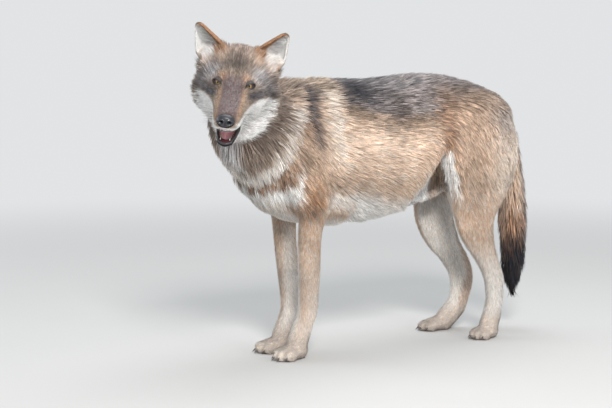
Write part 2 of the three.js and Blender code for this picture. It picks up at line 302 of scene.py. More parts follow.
# the coat by region, in millimetres: depth is how far the skin lies inside the tips of the fur, layers how many
# tufts lie over one another, and gather how far their tips are drawn together into locks
coatMeasures = ("depth", "length", "width", "layers", "gather")
coatLook = {  # later regions lie over earlier ones
    "trunk": (14, 40, 2.2, 4.0, 0.3), "back": (17, 46, 2.4, 4.0, 0.4),
    "neck": (25, 54, 2.3, 4.6, 0.42), "belly": (18, 50, 2.2, 4.2, 0.5),
    "shoulder": (10, 31, 1.9, 3.8, 0.25), "thigh": (10, 31, 1.9, 3.8, 0.25),
    "fore": (4.2, 15, 1.9, 3.2, 0.1), "hind": (4.5, 16, 2.0, 3.2, 0.1),
    "paw": (2.4, 9, 1.6, 3.2, 0.0), "groin": (9, 24, 1.9, 4.0, 0.3),
    "tail": (21, 60, 2.6, 4.6, 0.4), "tailEnd": (5, 40, 2.6, 4.8, 0.35),
    "head": (15, 28, 1.9, 4.4, 0.25), "ruff": (19, 42, 2.0, 4.8, 0.38),
    "crown": (8, 17, 1.6, 4.2, 0.15), "face": (4.5, 10, 1.45, 4.0, 0.1),
    "muzzle": (2.4, 6, 1.1, 3.8, 0.0), "ear": (0.4, 6.5, 1.25, 3.6, 0.0),
    "inEar": (7, 24, 1.3, 4.2, 0.35), "eye": (1.0, 4.5, 1.0, 3.4, 0.0),
}


def coatSizes(points, normals=None):  # each measure at each point
    part = regionsOf(points, normals)
    sizes = {}
    for what, *values in zip(coatMeasures, *coatLook.values()):
        size = np.full(len(points), float(values[0]))
        for name, value in list(zip(coatLook, values))[1:]:
            size += part[name] * (value - size)
        sizes[what] = size
    return sizes


# skin: the solids of flesh and the eyeballs made one, smoothed, drawn in by the coat's depth, and sculpted
skinMaking = {  # sizes in metres, then how many rounds each smoothing takes
    "grid": 0.003, "seam": 0.0012, "faces": 165000,
    "allOver": 30, "loose": 20, "body": 45, "nearEyes": 14, "facing": 8, "afterInset": 4, "fold": 8,
}
bareNodes = ("nose", "tongue", "eye_left", "eye_right")
fleshNodes = [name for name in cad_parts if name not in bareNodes]
# the head's relief in millimetres: centre and radii in the head's frame, then how far it rises or sinks
relief = (
    ((36, -104, 47), (22, 18, 12), 4.5),    # brow
    ((27, -128, 26), (9, 12, 12), -2.5),    # hollow in front of the inner corner of the eye
    ((0, -118, 36), (13, 26, 16), -3.5),    # stop, between the eyes
    ((0, -80, 75), (8, 34, 22), -2.5),      # furrow of the forehead
    ((60, -126, 2), (22, 26, 9), -2.5),     # hollow under the eye
    ((82, -72, -2), (20, 30, 16), 3.5),     # cheekbone
    ((22, -185, 2), (7, 40, 7), 1.6),       # edge of the bridge
    ((36, -180, -14), (10, 44, 10), -1.6),  # groove along the side of the muzzle
    ((27, -222, -31), (14, 22, 12), 2.6),   # whisker pad
    ((66, -95, 36), (18, 16, 14), -1.5),    # temple
)
eyeMaking = {"ball": 12.5, "reach": 21.0, "lid": 1.1, "wide": 12.6, "high": 5.7, "low": 5.2, "bare": (15.6, 8.0),
             "facing": (0.38, -0.87, 0.27), "outward": (0.80, 0.52, 0.22), "place": (39.0, -111.0, 23.2)}


def fleshTogether():
    whole = bmesh.new()
    for name in [*fleshNodes, "eye_left", "eye_right"]:
        part = bmesh.new()
        part.from_mesh(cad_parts[name].data)
        bmesh.ops.remove_doubles(part, verts=part.verts, dist=1e-5)
        part.normal_update()
        for vertex in part.verts:
            vertex.co += vertex.normal * skinMaking["seam"]
        mesh = bpy.data.meshes.new("part")
        part.to_mesh(mesh)
        part.free()
        whole.from_mesh(mesh)
        bpy.data.meshes.remove(mesh)
    mesh = bpy.data.meshes.new("skin")
    whole.to_mesh(mesh)
    whole.free()
    return applied(objectOf("skin", mesh), ("REMESH", {"mode": "VOXEL", "voxel_size": skinMaking["grid"]}))


def eyePlace(side):
    return np.array(eyeMaking["place"]) * (side, 1, 1)


def eyeAxes(side):  # outward along the opening, up across it, and the way the eye faces
    facing = np.array(eyeMaking["facing"]) * (side, 1, 1)
    facing /= np.linalg.norm(facing)
    along = np.array(eyeMaking["outward"]) * (side, 1, 1)
    along -= facing * (along @ facing)
    along /= np.linalg.norm(along)
    return np.stack([along, np.cross(along, facing) * -side, facing])


def lidEdges(a):  # the upper and the lower edge of the opening at a point along it
    t = np.clip(a / eyeMaking["wide"], -1, 1)
    bow = np.maximum(1 - t * t, 0)
    dip = 1.2 * (t < 0) * t * t
    upper = eyeMaking["high"] * bow ** 0.62 * (1 + 0.18 * t) - dip
    lower = -eyeMaking["low"] * bow ** 0.75 * (1 - 0.25 * t) - dip
    return upper, lower


def domeOf(size, r):
    return np.sqrt(np.maximum(size ** 2 - r ** 2, 0))


def bell(value, centre, width):
    return np.exp(-((value - centre) / width) ** 2)


def eyelids(points):  # draws the skin over the eyeball as two lids with an opening between them
    ball = eyeMaking["ball"]
    for side in (1, -1):
        centre, axes = eyePlace(side), eyeAxes(side)
        local = (toHead(points) - centre) @ axes.T
        across = np.hypot(local[:, 0], local[:, 1])
        near = np.nonzero((across < eyeMaking["reach"]) & (local[:, 2] > -4))[0]
        a, b, c = local[near].T
        r = across[near]
        cap = domeOf(ball + eyeMaking["lid"] + 0.9 * bell(b, 7.5, 2.2) + 0.5 * bell(b, -7.5, 2), r)
        crease = 1.1 * bell(b + 0.03 * a * a, 10, 1.3) + 0.7 * bell(b - 0.03 * a * a, -9.5, 1.3)
        lidded = np.maximum(cap, c) * (1 - ramp(r, 9, 13)) + c * ramp(r, 9, 13)
        lidded = lidded - crease * (1 - ramp(np.abs(a), 8, 15))
        lidded = np.maximum(lidded, domeOf(ball + 0.7, r))
        upper, lower = lidEdges(a)
        isOpen = (np.minimum(upper - b, b - lower) > 0) & (np.abs(a) < eyeMaking["wide"])
        local[near, 2] = np.where(isOpen, domeOf(ball - 2.2, r), lidded)
        points[near] = fromHead(local[near] @ axes + centre)
    return points


def finerNearEyes(skin):
    whole = bmesh.new()
    whole.from_mesh(skin.data)
    places = sided(toHead(np.array([edge.verts[0].co for edge in whole.edges])))
    near = np.linalg.norm(places - eyeMaking["place"], axis=1) < eyeMaking["reach"] + 3
    edges = [edge for edge, chosen in zip(whole.edges, near) if chosen]
    bmesh.ops.subdivide_edges(whole, edges=edges, cuts=2, use_grid_fill=True)
    bmesh.ops.triangulate(whole, faces=whole.faces)
    whole.to_mesh(skin.data)
    whole.free()


def thinned(skin, part, quads):  # fewer faces, but most of them kept on the head and the feet
    keep = skin.vertex_groups.new(name="keep")
    levels = np.round(np.clip(part["head"] * 0.5 + part["face"] + part["ear"] + part["paw"], 0, 1) * 10) / 10
    for level in np.unique(levels):
        keep.add(np.nonzero(levels == level)[0].tolist(), float(1 - level), "REPLACE")
    share = skinMaking["faces"] / (2 * len(quads))
    applied(skin, ("DECIMATE", {"ratio": share, "vertex_group": "keep", "vertex_group_factor": 2.0}),
            ("TRIANGULATE", {}))
    skin.vertex_groups.clear()


def makeSkin():
    skin = fleshTogether()
    points, quads, edges = pointsOf(skin.data), cornersOf(skin.data, 4), edgesOf(skin.data)
    part = regionsOf(points)
    mouth = spot(toHead(points), (0, -180, -62), (60, 110, 45))
    loose = 1 - 0.5 * part["ear"] - 0.6 * part["paw"] - 0.75 * ramp(mouth, 0.2, 0.6)
    loose = np.clip(loose, 0.1, 1)
    limb = np.clip(part["fore"] + part["hind"] + part["tailEnd"] + part["face"] + part["ear"] + part["paw"], 0, 1)
    points = eased(points, edges, loose, skinMaking["allOver"])
    points = spread(points, edges, 0.5 * np.clip(loose - 0.5, 0, 1), skinMaking["loose"])
    points = spread(points, edges, 0.6 * (1 - limb) * loose, skinMaking["body"])
    points = spread(points, edges, 0.6 * part["eye"], skinMaking["nearEyes"])
    normals = unit(spread(normalsOf(points, quads), edges, 0.5, skinMaking["facing"]))
    points -= normals * coatSizes(points)["depth"][:, None] / 1000
    points = spread(points, edges, 0.5 * np.clip(loose, 0.05, 1), skinMaking["afterInset"])
    h = toHead(points)
    shorter = part["ear"] * ramp(alongEar(h)[1], 0.0, 1.0) * -6.0  # leaves room for the fur at the ear's tip
    points += mirrored(shorter[:, None] * (earRun / 96.0), h) @ headTurn / 1000
    for centre, radii, rise in relief:
        points += normals * (spot(h, centre, radii) * rise * part["head"])[:, None] / 1000
    p = toBody(points)
    inward = groinShare(p) * ramp(np.abs(p[:, 0]), 25, 70) * flankFold["depth"] / 1000
    points[:, 0] -= np.sign(p[:, 0]) * inward
    points = spread(points, edges, 0.5 * ramp(inward, 0, 0.004) * (inward < 0.040), skinMaking["fold"])
    movePoints(skin.data, points)
    thinned(skin, part, quads)
    finerNearEyes(skin)
    movePoints(skin.data, eyelids(pointsOf(skin.data)))
    skin.data.polygons.foreach_set("use_smooth", np.full(len(skin.data.polygons), True))
    print("skin:", len(skin.data.polygons), "faces")
    return skin


skin = makeSkin()


# the lie of the coat: which way the fur points, as one smooth field over the skin
def lieOf(points, normals, edges):
    p, h = toBody(points), toHead(points)
    y, z = p[:, 1], p[:, 2]
    part = regionsOf(points, normals)
    low = ramp(-z, -600, -400)
    lie = np.column_stack([0 * low, 1 + 0 * low, -0.12 - 0.5 * low])

    def turn(share, across, back, up, axes=np.eye(3)):
        towards = np.column_stack([np.broadcast_to(v, len(points)) for v in (across, back, up)]) @ axes
        lie[:] = lie + share[:, None] * (unit(towards) - lie)

    def flat(field):
        return unit(field - normals * (field * normals).sum(1, keepdims=True))

    side, sideways = np.sign(h[:, 0]), h[:, 0]
    foldEdge = ramp(pastFold(p), -60, -5) * ramp(z, 390, 430) * (1 - ramp(z, 600, 640)) * (1 - ramp(y, 445, 470))
    fromFace = unit(h - np.array([0, -120, -20])) @ headTurn + (0, 0.25, -0.6)
    inCup = 70 * (1 - ramp(earPlace(h)[1], -0.2, 0.5))
    turn(part["shoulder"], 0, 0.42, -1)
    turn(ramp(part["thigh"], 0.1, 0.6), 0, 0.42, -1)
    turn(ramp(-y, 40, 140), 0, 0.25, -1)
    turn(part["neck"], *fromFace.T)
    turn(part["fore"], 0, 0.1, -1)
    turn(part["hind"], 0, 0.1, -1)
    turn(foldEdge, 0, 0.25, -1)
    turn(part["groin"], 0, 0.15, -1)
    turn(part["tail"], 0, 0.14, -1)
    turn(part["paw"], 0, -1, -0.35)
    turn(part["head"], 0.5 * sideways / 80, 1, -0.3 + 0.5 * ramp(h[:, 2], -10, 60), headTurn)
    turn(part["face"], sideways / 120, 1, 0.75 * ramp(h[:, 2], 0, 45) - 0.1, headTurn)
    turn(part["muzzle"], sideways / 150, 1, -0.25 - 0.2 * ramp(-h[:, 2], 10, 40), headTurn)
    turn(part["ear"], 44 * side, 4, 85, headTurn)
    turn(part["inEar"], (44 + 0.846 * inCup) * side, 4 + 0.211 * inCup, 85 - 0.447 * inCup, headTurn)
    return flat(spread(flat(lie), edges, 0.6 * (1 - 0.9 * part["ear"]), 14))


# markings: the colours of the coat, worked out from where a point lies on the body
palette = {
    "tan": (0.53, 0.375, 0.275), "cream": (0.72, 0.63, 0.54), "white": (0.86, 0.85, 0.83),
    "pale": (0.58, 0.56, 0.56), "orange": (0.43, 0.225, 0.115), "brown": (0.20, 0.145, 0.105),
    "umber": (0.075, 0.055, 0.045), "black": (0.018, 0.018, 0.023), "grey": (0.225, 0.21, 0.22),
    "silver": (0.54, 0.53, 0.55), "cinnamon": (0.125, 0.088, 0.084), "rust": (0.38, 0.205, 0.115),
    "fawn": (0.33, 0.26, 0.205), "charcoal": (0.06, 0.057, 0.065), "ivory": (0.80, 0.74, 0.68),
    "russet": (0.255, 0.145, 0.09), "blush": (0.33, 0.245, 0.215), "sand": (0.72, 0.55, 0.43),
    "ash": (0.28, 0.24, 0.225), "smoke": (0.065, 0.059, 0.056), "walnut": (0.155, 0.12, 0.10),
    "buff": (0.42, 0.285, 0.20),
}
saddleEdge = {"behind": (60, 110, 260, 400, 476, 560, 640, 700, 737),
              "heights": (745, 705, 664, 674, 708, 738, 728, 694, 640)}


def mottle(points, size):  # soft blotches, about -1 to 1
    a, b, c = (points / size).T
    return (np.sin(a * 1.3 + 2.1 * np.sin(b * 0.7) + 0.4) + np.sin(b * 1.1 + 1.7 * np.sin(c * 0.9))
            + np.sin(c * 1.2 + 1.9 * np.sin(a * 0.8 + 1.0))) / 2


def markingsOf(points, normals):  # main colour, colour of the tips, share of tipped tufts, and how far tufts differ
    p, h = toBody(points), toHead(points)
    part = regionsOf(points, normals)
    x, y, z = p.T
    out = np.abs(x)
    aside, ahead, above = np.abs(h[:, 0]), -h[:, 1], h[:, 2]
    count = len(points)
    main = np.tile(palette["tan"], (count, 1)).astype(float)
    tip = np.tile(palette["cream"], (count, 1)).astype(float)
    tipped, fleck = np.full(count, 0.42), np.full(count, 0.22)

    def paint(share, colour, tipColour, amount=None, flecked=None):
        share = np.clip(share, 0, 1)
        for field, wanted in ((main, palette[colour]), (tip, palette[tipColour]), (tipped, amount), (fleck, flecked)):
            if wanted is not None:
                field += (share[:, None] if field.ndim > 1 else share) * (wanted - field)

    def dabs(points, within, *rows):  # spots: how strong, where, how wide, and their look
        for strength, centre, radii, *look in rows:
            paint(strength * within * spot(points, centre, radii), *look)

    # trunk, from the belly up to the saddle
    paint(0.35 * (1 - ramp(z, 460, 560)), "fawn", "cream", 0.6, 0.2)
    # a paler sand patch over the middle of the flank: partly the coat's paler flank, partly painted light where the
    # light falls fullest
    dabs(p, 1, (0.7, (120, 210, 590), (70, 140, 88), "sand", "cream", 0.4, 0.2))
    underneath = ramp(-z - np.interp(y, (150, 250), (0, 28)), -475, -420) * ramp(y, 10, 60)
    underneath = underneath * (1 - ramp(y, 430, 480) * ramp(out, 50, 80))
    paint(underneath, "ivory", "white", 0.6, 0.1)
    paint(0.6 * underneath * (1 - ramp(y, 180, 300)), "white", "white", 0.5, 0.08)
    notTail = 1 - part["tail"]
    paint((1 - ramp(out, 40, 80)) * ramp(y, 590, 640) * (1 - ramp(z, 570, 610)) * notTail, "cream", "white", 0.5, 0.1)
    paint(0.5 * ramp(z, 590, 690) * ramp(y, 40, 90), "tan", "brown", 0.35, 0.25)
    aboveEdge = z - np.interp(y, saddleEdge["behind"], saddleEdge["heights"])
    saddle = ramp(aboveEdge, -14, 20) * ramp(y, 66, 112)
    paint(0.7 * ramp(aboveEdge, -70, -10) * ramp(y, 66, 112), "brown", "umber", 0.5, 0.4)
    paint(saddle, "ash", "black", 0.5, 0.5)
    paint(0.4 * saddle * ramp(z, 725, 765), "grey", "silver", 0.35, 0.6)
    paint(0.5 * saddle * (1 - ramp(y, 230, 340)), "charcoal", "black", 0.6, 0.6)
    dabs(p, 1,
         (1.0, (85, 152, 748), (80, 44, 46), "black", "charcoal", 0.4, 0.5),
         (0.8, (120, 283, 688), (60, 34, 26), "umber", "black", 0.6, 0.5),
         (0.75, (100, 450, 716), (60, 40, 26), "umber", "black", 0.6, 0.5),
         (1.0, (108, 648, 668), (80, 58, 66), "grey", "umber", 0.7, 0.5),
         (0.85, (60, 500, 742), (84, 90, 36), "umber", "ash", 0.35, 0.5))
    # withers, the dark stripe behind the neck and the cream band behind it
    paint(0.9 * ramp(z, 700, 750) * span(y, -60, -10, 84, 120), "fawn", "umber", 0.55, 0.4)
    paint(0.7 * bell(y, 58, 26) * span(z, 500, 600, 730, 755), "cream", "white", 0.5, 0.2)
    stripe = bell(y, -np.interp(z, (575, 667, 768), (4, 18, 4)), 23) * span(z, 550, 610, 775, 800)
    paint((0.45 + 0.55 * ramp(x, -60, 40)) * stripe * ramp(out, 40, 70), "charcoal", "black", 0.5, 0.5)
    # shoulder, thigh and groin
    dabs(p, 1,
         (0.9, (124, -34, 510), (60, 56, 100), "buff", "tan", 0.4, 0.3),
         (0.9, (120, -14, 440), (60, 44, 50), "orange", "fawn", 0.35, 0.25),
         (1.0, (110, 446, 615), (60, 34, 110), "russet", "umber", 0.4, 0.4),
         (0.5, (110, 520, 640), (60, 60, 90), "tan", "russet", 0.35, 0.3),
         (0.6, (90, 640, 700), (80, 60, 50), "tan", "brown", 0.45, 0.35),
         (0.4, (125, 545, 500), (60, 90, 120), "buff", "tan", 0.4, 0.25))
    paint(0.8 * ramp(y, 670, 712) * span(z, 380, 430, 640, 690) * notTail, "cream", "white", 0.5, 0.1)
    groin = part["groin"] * (1 - ramp(out, 98, 112))
    paint(groin, "white", "pale", 0.5, 0.1)
    gap = behindLine(p, thighFront)
    # a brown strip deep in the groin hollow, in front of the thigh: painted shade
    paint(groin * span(gap, -60, -34, -16, -6) * (1 - ramp(out, 74, 90)), "brown", "umber", 0.4, 0.3)
    paint(0.9 * span(gap, -12, -4, 0, 9) * span(z, 400, 440, 535, 570), "white", "white", 0.4, 0.08)
    dabs(p, 1, (0.6, (125, 650, 500), (60, 60, 150), "cream", "white", 0.4, 0.14))
    # legs, paler inside and towards the feet
    leg = np.maximum(part["fore"], part["hind"])
    inner = ramp(-(out - np.where(y > 300, 92, np.where(x > 0, 66, 50))), -6, 12)
    behind = ramp(y - np.interp(z, (60, 170, 330), (672, 716, 668)) + 50 * (x < 0), -26, 0)
    paint(leg, "tan", "cream", 0.5, 0.1)
    paint(part["hind"] * ramp(-z, -320, -170), "ivory", "white", 0.4, 0.06)
    paint(part["fore"] * ramp(-z, -330, -120) * 0.55, "ivory", "white", 0.4, 0.06)
    paint(leg * inner, "ivory", "white", 0.5, 0.06)
    # a dark russet patch at the elbow, where the foreleg meets the trunk: painted shade
    dabs(p, 1, (0.85, (122, -20, 416), (50, 36, 34), "russet", "umber", 0.5, 0.4))
    paint(0.9 * part["hind"] * behind * (1 - 0.2 * inner), "tan", "russet", 0.5, 0.2)
    paint(part["paw"], "cream", "pale", 0.4, 0.14)
    paint(0.3 * part["paw"], "blush", "blush")
    dabs(p, part["fore"] * (1 - inner), (0.6, (60, -40, 150), (60, 30, 60), "orange", "tan", 0.4))
    # tail: grey above, brown in the middle, black at the end
    paint(part["tail"], "tan", "cream", 0.5, 0.3)
    paint(part["tail"] * ramp(-z, -430, -340) * 0.95, "russet", "umber", 0.5, 0.5)
    paint(part["tail"] * ramp(behindLine(p, tailLine), 2, 34) * 0.7, "grey", "umber", 0.5, 0.4)
    paint(part["tail"] * ramp(-z, -330, -235), "black", "umber", 0.25, 0.25)
    # neck: rings about the face, wider above and below, then the white breast
    ring = np.linalg.norm(h - [0, -110, -40], axis=1)
    wide = ring - np.interp(above, (-290, -168, -89), (40, 0, 30))
    front = ramp(-y, -10, 50)
    turned = 0.12 + 0.88 * ramp(h[:, 0], -60, 10)  # the head is turned, so the far side's rings are drawn out
    paint(part["neck"] * 0.85, "walnut", "fawn", 0.5, 0.4)
    paint(part["neck"] * ramp(above, -50, 30) * 0.95, "grey", "umber", 0.5, 0.45)
    throat = front * ramp(-above, 66, 110) * (1 - ramp(aside, 14, 52)) * (1 - ramp(ring, 190, 240))
    paint(0.9 * throat, "pale", "white", 0.6, 0.25)
    brownRing = front * ramp(ring, 122, 142) * (1 - ramp(wide, 184, 206)) * ramp(aside, 30, 70)
    paint(0.85 * brownRing, "walnut", "fawn", 0.4, 0.4)
    dabs(h, 1, (0.85, (130, -25, -105), (28, 28, 28), "umber", "brown", 0.3))
    paleRing = front * span(wide, 196, 214, 234, 250) * ramp(-above, 90, 130)
    paint(0.95 * paleRing * turned, "ivory", "white", 0.6, 0.08)
    paint(0.85 * front * span(wide, 242, 256, 272, 290) * ramp(-above, 120, 160), "russet", "brown", 0.45, 0.3)
    breast = ramp(wide, 262, 282) * (1 - ramp(ring, 350, 385)) * ramp(-y, 44, 74) * ramp(-z, -575, -535)
    paint(breast * ramp(x, -110, -50), "white", "cream", 0.3, 0.08)
    paint(ramp(-y, 60, 110) * ramp(-z, -450, -400), "cream", "white", 0.4, 0.08)
    # two brown spots on the side of the neck, in front of the shoulder and behind the white cheek: painted shade
    dabs(p, 1,
         (0.75, (134, -72, 590), (60, 44, 60), "fawn", "brown", 0.5, 0.35),
         (0.8, (146, -100, 668), (50, 34, 40), "walnut", "brown", 0.4, 0.35))
    # head
    head = part["head"]
    paint(head, "fawn", "brown", 0.45, 0.4)
    dabs(h, head,
         (1.0, (0, -66, 70), (74, 52, 42), "smoke", "brown", 0.4, 0.65),     # forehead
         (0.85, (0, -4, 98), (60, 46, 40), "blush", "umber", 0.4, 0.4),      # crown
         (0.9, (62, -34, 72), (26, 30, 18), "tan", "cream", 0.3, 0.2),       # in front of the ears
         (0.8, (0, -56, 80), (6, 22, 30), "umber", "black", 0.5),            # line up the forehead
         (0.6, (0, -78, 72), (17, 12, 20), "umber", "black", 0.5, 0.5),
         (1.0, (72, -80, 40), (26, 28, 24), "silver", "grey", 0.5, 0.4))     # temples
    bridge = ramp(ahead, 100, 124) * (1 - ramp(aside, 22, 34)) * ramp(above, -30, -10)
    paint(head * bridge, "cinnamon", "grey", 0.4, 0.3)
    bridgeEdge = ramp(ahead, 122, 145) * bell(aside, 31, 6) * ramp(above, -22, -4)
    paint(0.36 * head * bridgeEdge, "orange", "brown", 0.5, 0.3)
    dabs(h, head,
         (0.45, (31, -113, 44), (11, 12, 12), "orange", "tan", 0.4),             # over the eyes
         (0.9, (98, -70, 12), (24, 34, 28), "grey", "charcoal", 0.6, 0.5),       # behind the eyes
         (1.0, (52, -128, 4), (22, 20, 13), "charcoal", "charcoal", 0.4, 0.4),   # under the eyes
         (0.85, (80, -98, 2), (30, 26, 14), "charcoal", "grey", 0.45, 0.5),
         (0.9, (67, -114, -3), (20, 18, 13), "charcoal", "grey", 0.4, 0.5),
         (0.9, (108, -74, -14), (22, 26, 18), "charcoal", "umber", 0.4, 0.5))
    cheekLine = np.interp(aside, (30, 50, 75, 94, 119), (-20, -20, -13, -18, -52))
    cheek = ramp(cheekLine - above, -6, 6) * ramp(ahead, 10, 44) * (1 - ramp(ring, 118, 138))
    paint(cheek, "white", "white", 0.3, 0.07)
    lipSide = ramp(ahead, 130, 160) * ramp(-above, 12, 24) * ramp(aside, 22, 36)
    paint(head * lipSide, "white", "pale", 0.3, 0.1)
    paint(head * ramp(ahead, 200, 215) * ramp(-above, 24, 32), "white", "pale", 0.3, 0.1)
    paint(ramp(-above, 60, 80) * (1 - ramp(ring, 108, 130)), "white", "pale", 0.4, 0.1)
    eyeGap = np.linalg.norm(sided(h) - eyeMaking["place"], axis=1)
    paint(0.85 * head * (1 - ramp(eyeGap, 15, 20)), "charcoal", "umber", 0.4, 0.3)
    # ears: rusty along the inner edge and behind, dark at the tip, white inside
    ear, facing = part["ear"], normals @ headTurn.T
    along, across = earPlace(h)
    inside = inwardOf(facing, h)
    within = np.maximum(inside, ramp(part["inEar"], 0.1, 0.4))
    paint(ear, "rust", "umber", 0.35, 0.35)
    paint(ear * (1 - inside) * ramp(facing[:, 1], 0, 0.4) * 0.6, "walnut", "rust", 0.5, 0.6)
    paint(ear * ramp(-across, 0.35, 0.85) * ramp(-along, -0.45, -0.1) * 0.5, "umber", "rust", 0.3)
    paint(ear * ramp(along, 0.84, 0.97) * 0.8, "umber", "rust", 0.3)
    paint(ear * within * ramp(across, -0.5, -0.25) * (1 - ramp(along, 0.84, 0.94)), "white", "white", 0.3, 0.08)
    paint(ear * inside * bell(across, 0.2, 0.3) * (1 - ramp(along, 0.5, 0.8)) * 0.65, "silver", "white", 0.3)
    paint(ear * (1 - within) * (1 - ramp(along, -0.12, 0.06)) * ramp(across, 0.1, 0.5), "tan", "cream", 0.4)
    paint(ear * (1 - ramp(along, -0.02, 0.26)) * 0.75, "tan", "cream", 0.4, 0.2)
    uneven = 0.12 * mottle(p, 55) + 0.09 * mottle(p[:, ::-1], 23)
    uneven = 1 + (uneven * (1 - 0.8 * np.maximum(ear, head)))[:, None]
    return main * uneven, tip * uneven, tipped, fleck


# materials: a node is added with its settings, and each of its inputs gets a value or another node's output
def setInputs(node, values):
    for name, value in values.items():
        socket = node.inputs[name]
        if isinstance(value, bpy.types.NodeSocket):
            node.id_data.links.new(value, socket)
        else:
            socket.default_value = (*value, 1) if socket.type == "RGBA" else value


def addNode(nodes, kind, values, **settings):
    node = nodes.new(kind)
    for name, value in settings.items():
        setattr(node, name, value)
    setInputs(node, values)
    return node


def maths(nodes, operation, *values):
    return addNode(nodes, "ShaderNodeMath", dict(enumerate(values)), operation=operation).outputs[0]


def rising(nodes, value, start, end, how="SMOOTHSTEP", **more):  # 0 at the start and 1 at the end
    values = {"Value": value, "From Min": start, "From Max": end, **more}
    return addNode(nodes, "ShaderNodeMapRange", values, interpolation_type=how).outputs["Result"]


def blended(nodes, factor, first, second, how="MIX"):
    values = {"Factor": factor, "A": first, "B": second}
    return addNode(nodes, "ShaderNodeMix", values, data_type="RGBA", blend_type=how).outputs["Result"]


def textured(nodes, kind, **values):
    place = nodes.new("ShaderNodeTexCoord").outputs["Object"]
    return addNode(nodes, kind, {"Vector": place, **values}).outputs


def attributeOf(nodes, name, output="Fac"):
    return addNode(nodes, "ShaderNodeAttribute", {}, attribute_name=name).outputs[output]


def newMaterial(name):
    material = bpy.data.materials.new(name)
    material.use_nodes = True
    return material, material.node_tree.nodes


def newGroup(name, kind, inputs, outputs):  # a node group with named sockets, each with its kind and first value
    group = bpy.data.node_groups.new(name, kind)
    for direction, sockets in (("INPUT", inputs), ("OUTPUT", outputs)):
        for label, (socketKind, *value) in sockets.items():
            socket = group.interface.new_socket(label, in_out=direction, socket_type="NodeSocket" + socketKind)
            if value:
                socket.default_value = value[0]
    return group, group.nodes, group.nodes.new("NodeGroupInput").outputs, group.nodes.new("NodeGroupOutput")


def furToneGroup():  # painted shade: darker towards the root, where the tufts shadow one another, and a little different from tuft to tuft
    group, nodes, given, end = newGroup(
        "furTone", "ShaderNodeTree",
        {"Colour": ["Color"], "Along": ("Float", 0.5), "Lock": ("Float", 0.5), "Grain": ("Float", 420.0),
         "Shade": ("Float", 0.45)}, {"Colour": ["Color"], "Roughness": ["Float"]})
    noise = textured(nodes, "ShaderNodeTexNoise", Detail=2.0, Scale=given["Grain"])["Fac"]
    rooted = rising(nodes, given["Along"], 0.0, 0.7, **{"To Min": given["Shade"]})
    locked = maths(nodes, "MULTIPLY_ADD", given["Lock"], 0.5, 0.75)
    grained = maths(nodes, "MULTIPLY_ADD", noise, 0.5, 0.75)
    level = maths(nodes, "MULTIPLY", maths(nodes, "MULTIPLY", rooted, locked), grained)
    setInputs(end, {"Colour": blended(nodes, 1.0, given["Colour"], level, "MULTIPLY"),
                    "Roughness": maths(nodes, "MULTIPLY_ADD", noise, 0.3, 0.45)})
    return group


furTone = furToneGroup()


def furMaterial(name, grain, shade, sheen):
    material, nodes = newMaterial(name)
    tone = addNode(nodes, "ShaderNodeGroup", {
        "Colour": attributeOf(nodes, "coatColour", "Color"), "Along": attributeOf(nodes, "along"),
        "Lock": attributeOf(nodes, "lock"), "Grain": grain, "Shade": shade}, node_tree=furTone).outputs
    setInputs(nodes["Principled BSDF"], {
        "Base Color": tone["Colour"], "Roughness": tone["Roughness"],
        "Specular IOR Level": 0.14, "Sheen Weight": sheen})
    return material


furMaterials = {"long": furMaterial("longFur", 300, 0.72, 0.04), "short": furMaterial("shortFur", 500, 0.75, 0.04)}


# small pieces are made as numpy meshes in the head's frame and carried to their place here
def handOver(made, slot, *replaced):
    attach(made, "root")
    if replaced:
        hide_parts(*replaced)
    return made


def placed(name, headPoints, triangles, material, slot, *replaced):
    made = objectOf(name, meshFrom(name, fromHead(headPoints), triangles))
    made.data.materials.append(material)
    return handOver(made, slot, *replaced)


def ball():
    made = bmesh.new()
    bmesh.ops.create_icosphere(made, subdivisions=6, radius=1)
    points = np.array([vertex.co for vertex in made.verts])
    triangles = np.array([[vertex.index for vertex in face.verts] for face in made.faces])
    made.free()
    return points, triangles


def tube(path, radii, sides=12, up=(0, 0, 1)):  # a closed tube along a path, rounded off at both ends
    path, radii = np.asarray(path, float), np.broadcast_to(np.asarray(radii, float), len(path))
    ahead = unit(np.gradient(path, axis=0))
    across = unit(np.cross(ahead, np.array(up, float)))
    over = np.cross(across, ahead)
    turn = np.arange(sides) * 2 * math.pi / sides
    rings = []
    for size, shift, at in ((0.5, -0.8, 0), *((1, 0, k) for k in range(len(path))), (0.5, 0.8, len(path) - 1)):
        circle = np.outer(np.cos(turn), across[at]) + np.outer(np.sin(turn), over[at])
        rings.append(path[at] + ahead[at] * shift * radii[at] + radii[at] * size * circle)
    points = np.vstack([*rings, path[0] - ahead[0] * radii[0], path[-1] + ahead[-1] * radii[-1]])
    last = len(rings) * sides
    triangles = []
    for k in range(sides):
        after = (k + 1) % sides
        triangles += [(last, after, k), (last + 1, last - sides + k, last - sides + after)]
        for low in range(0, last - sides, sides):
            high = low + sides
            triangles += [(low + k, low + after, high + after), (low + k, high + after, high + k)]
    return points, np.array(triangles)


def rounded(path, rounds):  # takes the corners off a path, with both ends kept
    for _ in range(rounds):
        path[1:-1] = path[1:-1] * 0.5 + (path[:-2] + path[2:]) * 0.25
    return path


def refined(path, times):
    fine = np.linspace(0, len(path) - 1, len(path) * times)
    return np.column_stack([np.interp(fine, np.arange(len(path)), line) for line in path.T])


# the edges of the lips, found on the skin as the outermost points above and below the mouth's opening
mouthPlace = {
    "hinge": (-48.0, -46.0), "gape": 11.0, "frontCentre": -218.0, "sideStart": -128.0, "step": 5.0,
    "rear": -100, "tall": 38, "slice": 3.2, "tie": 0.35,
}


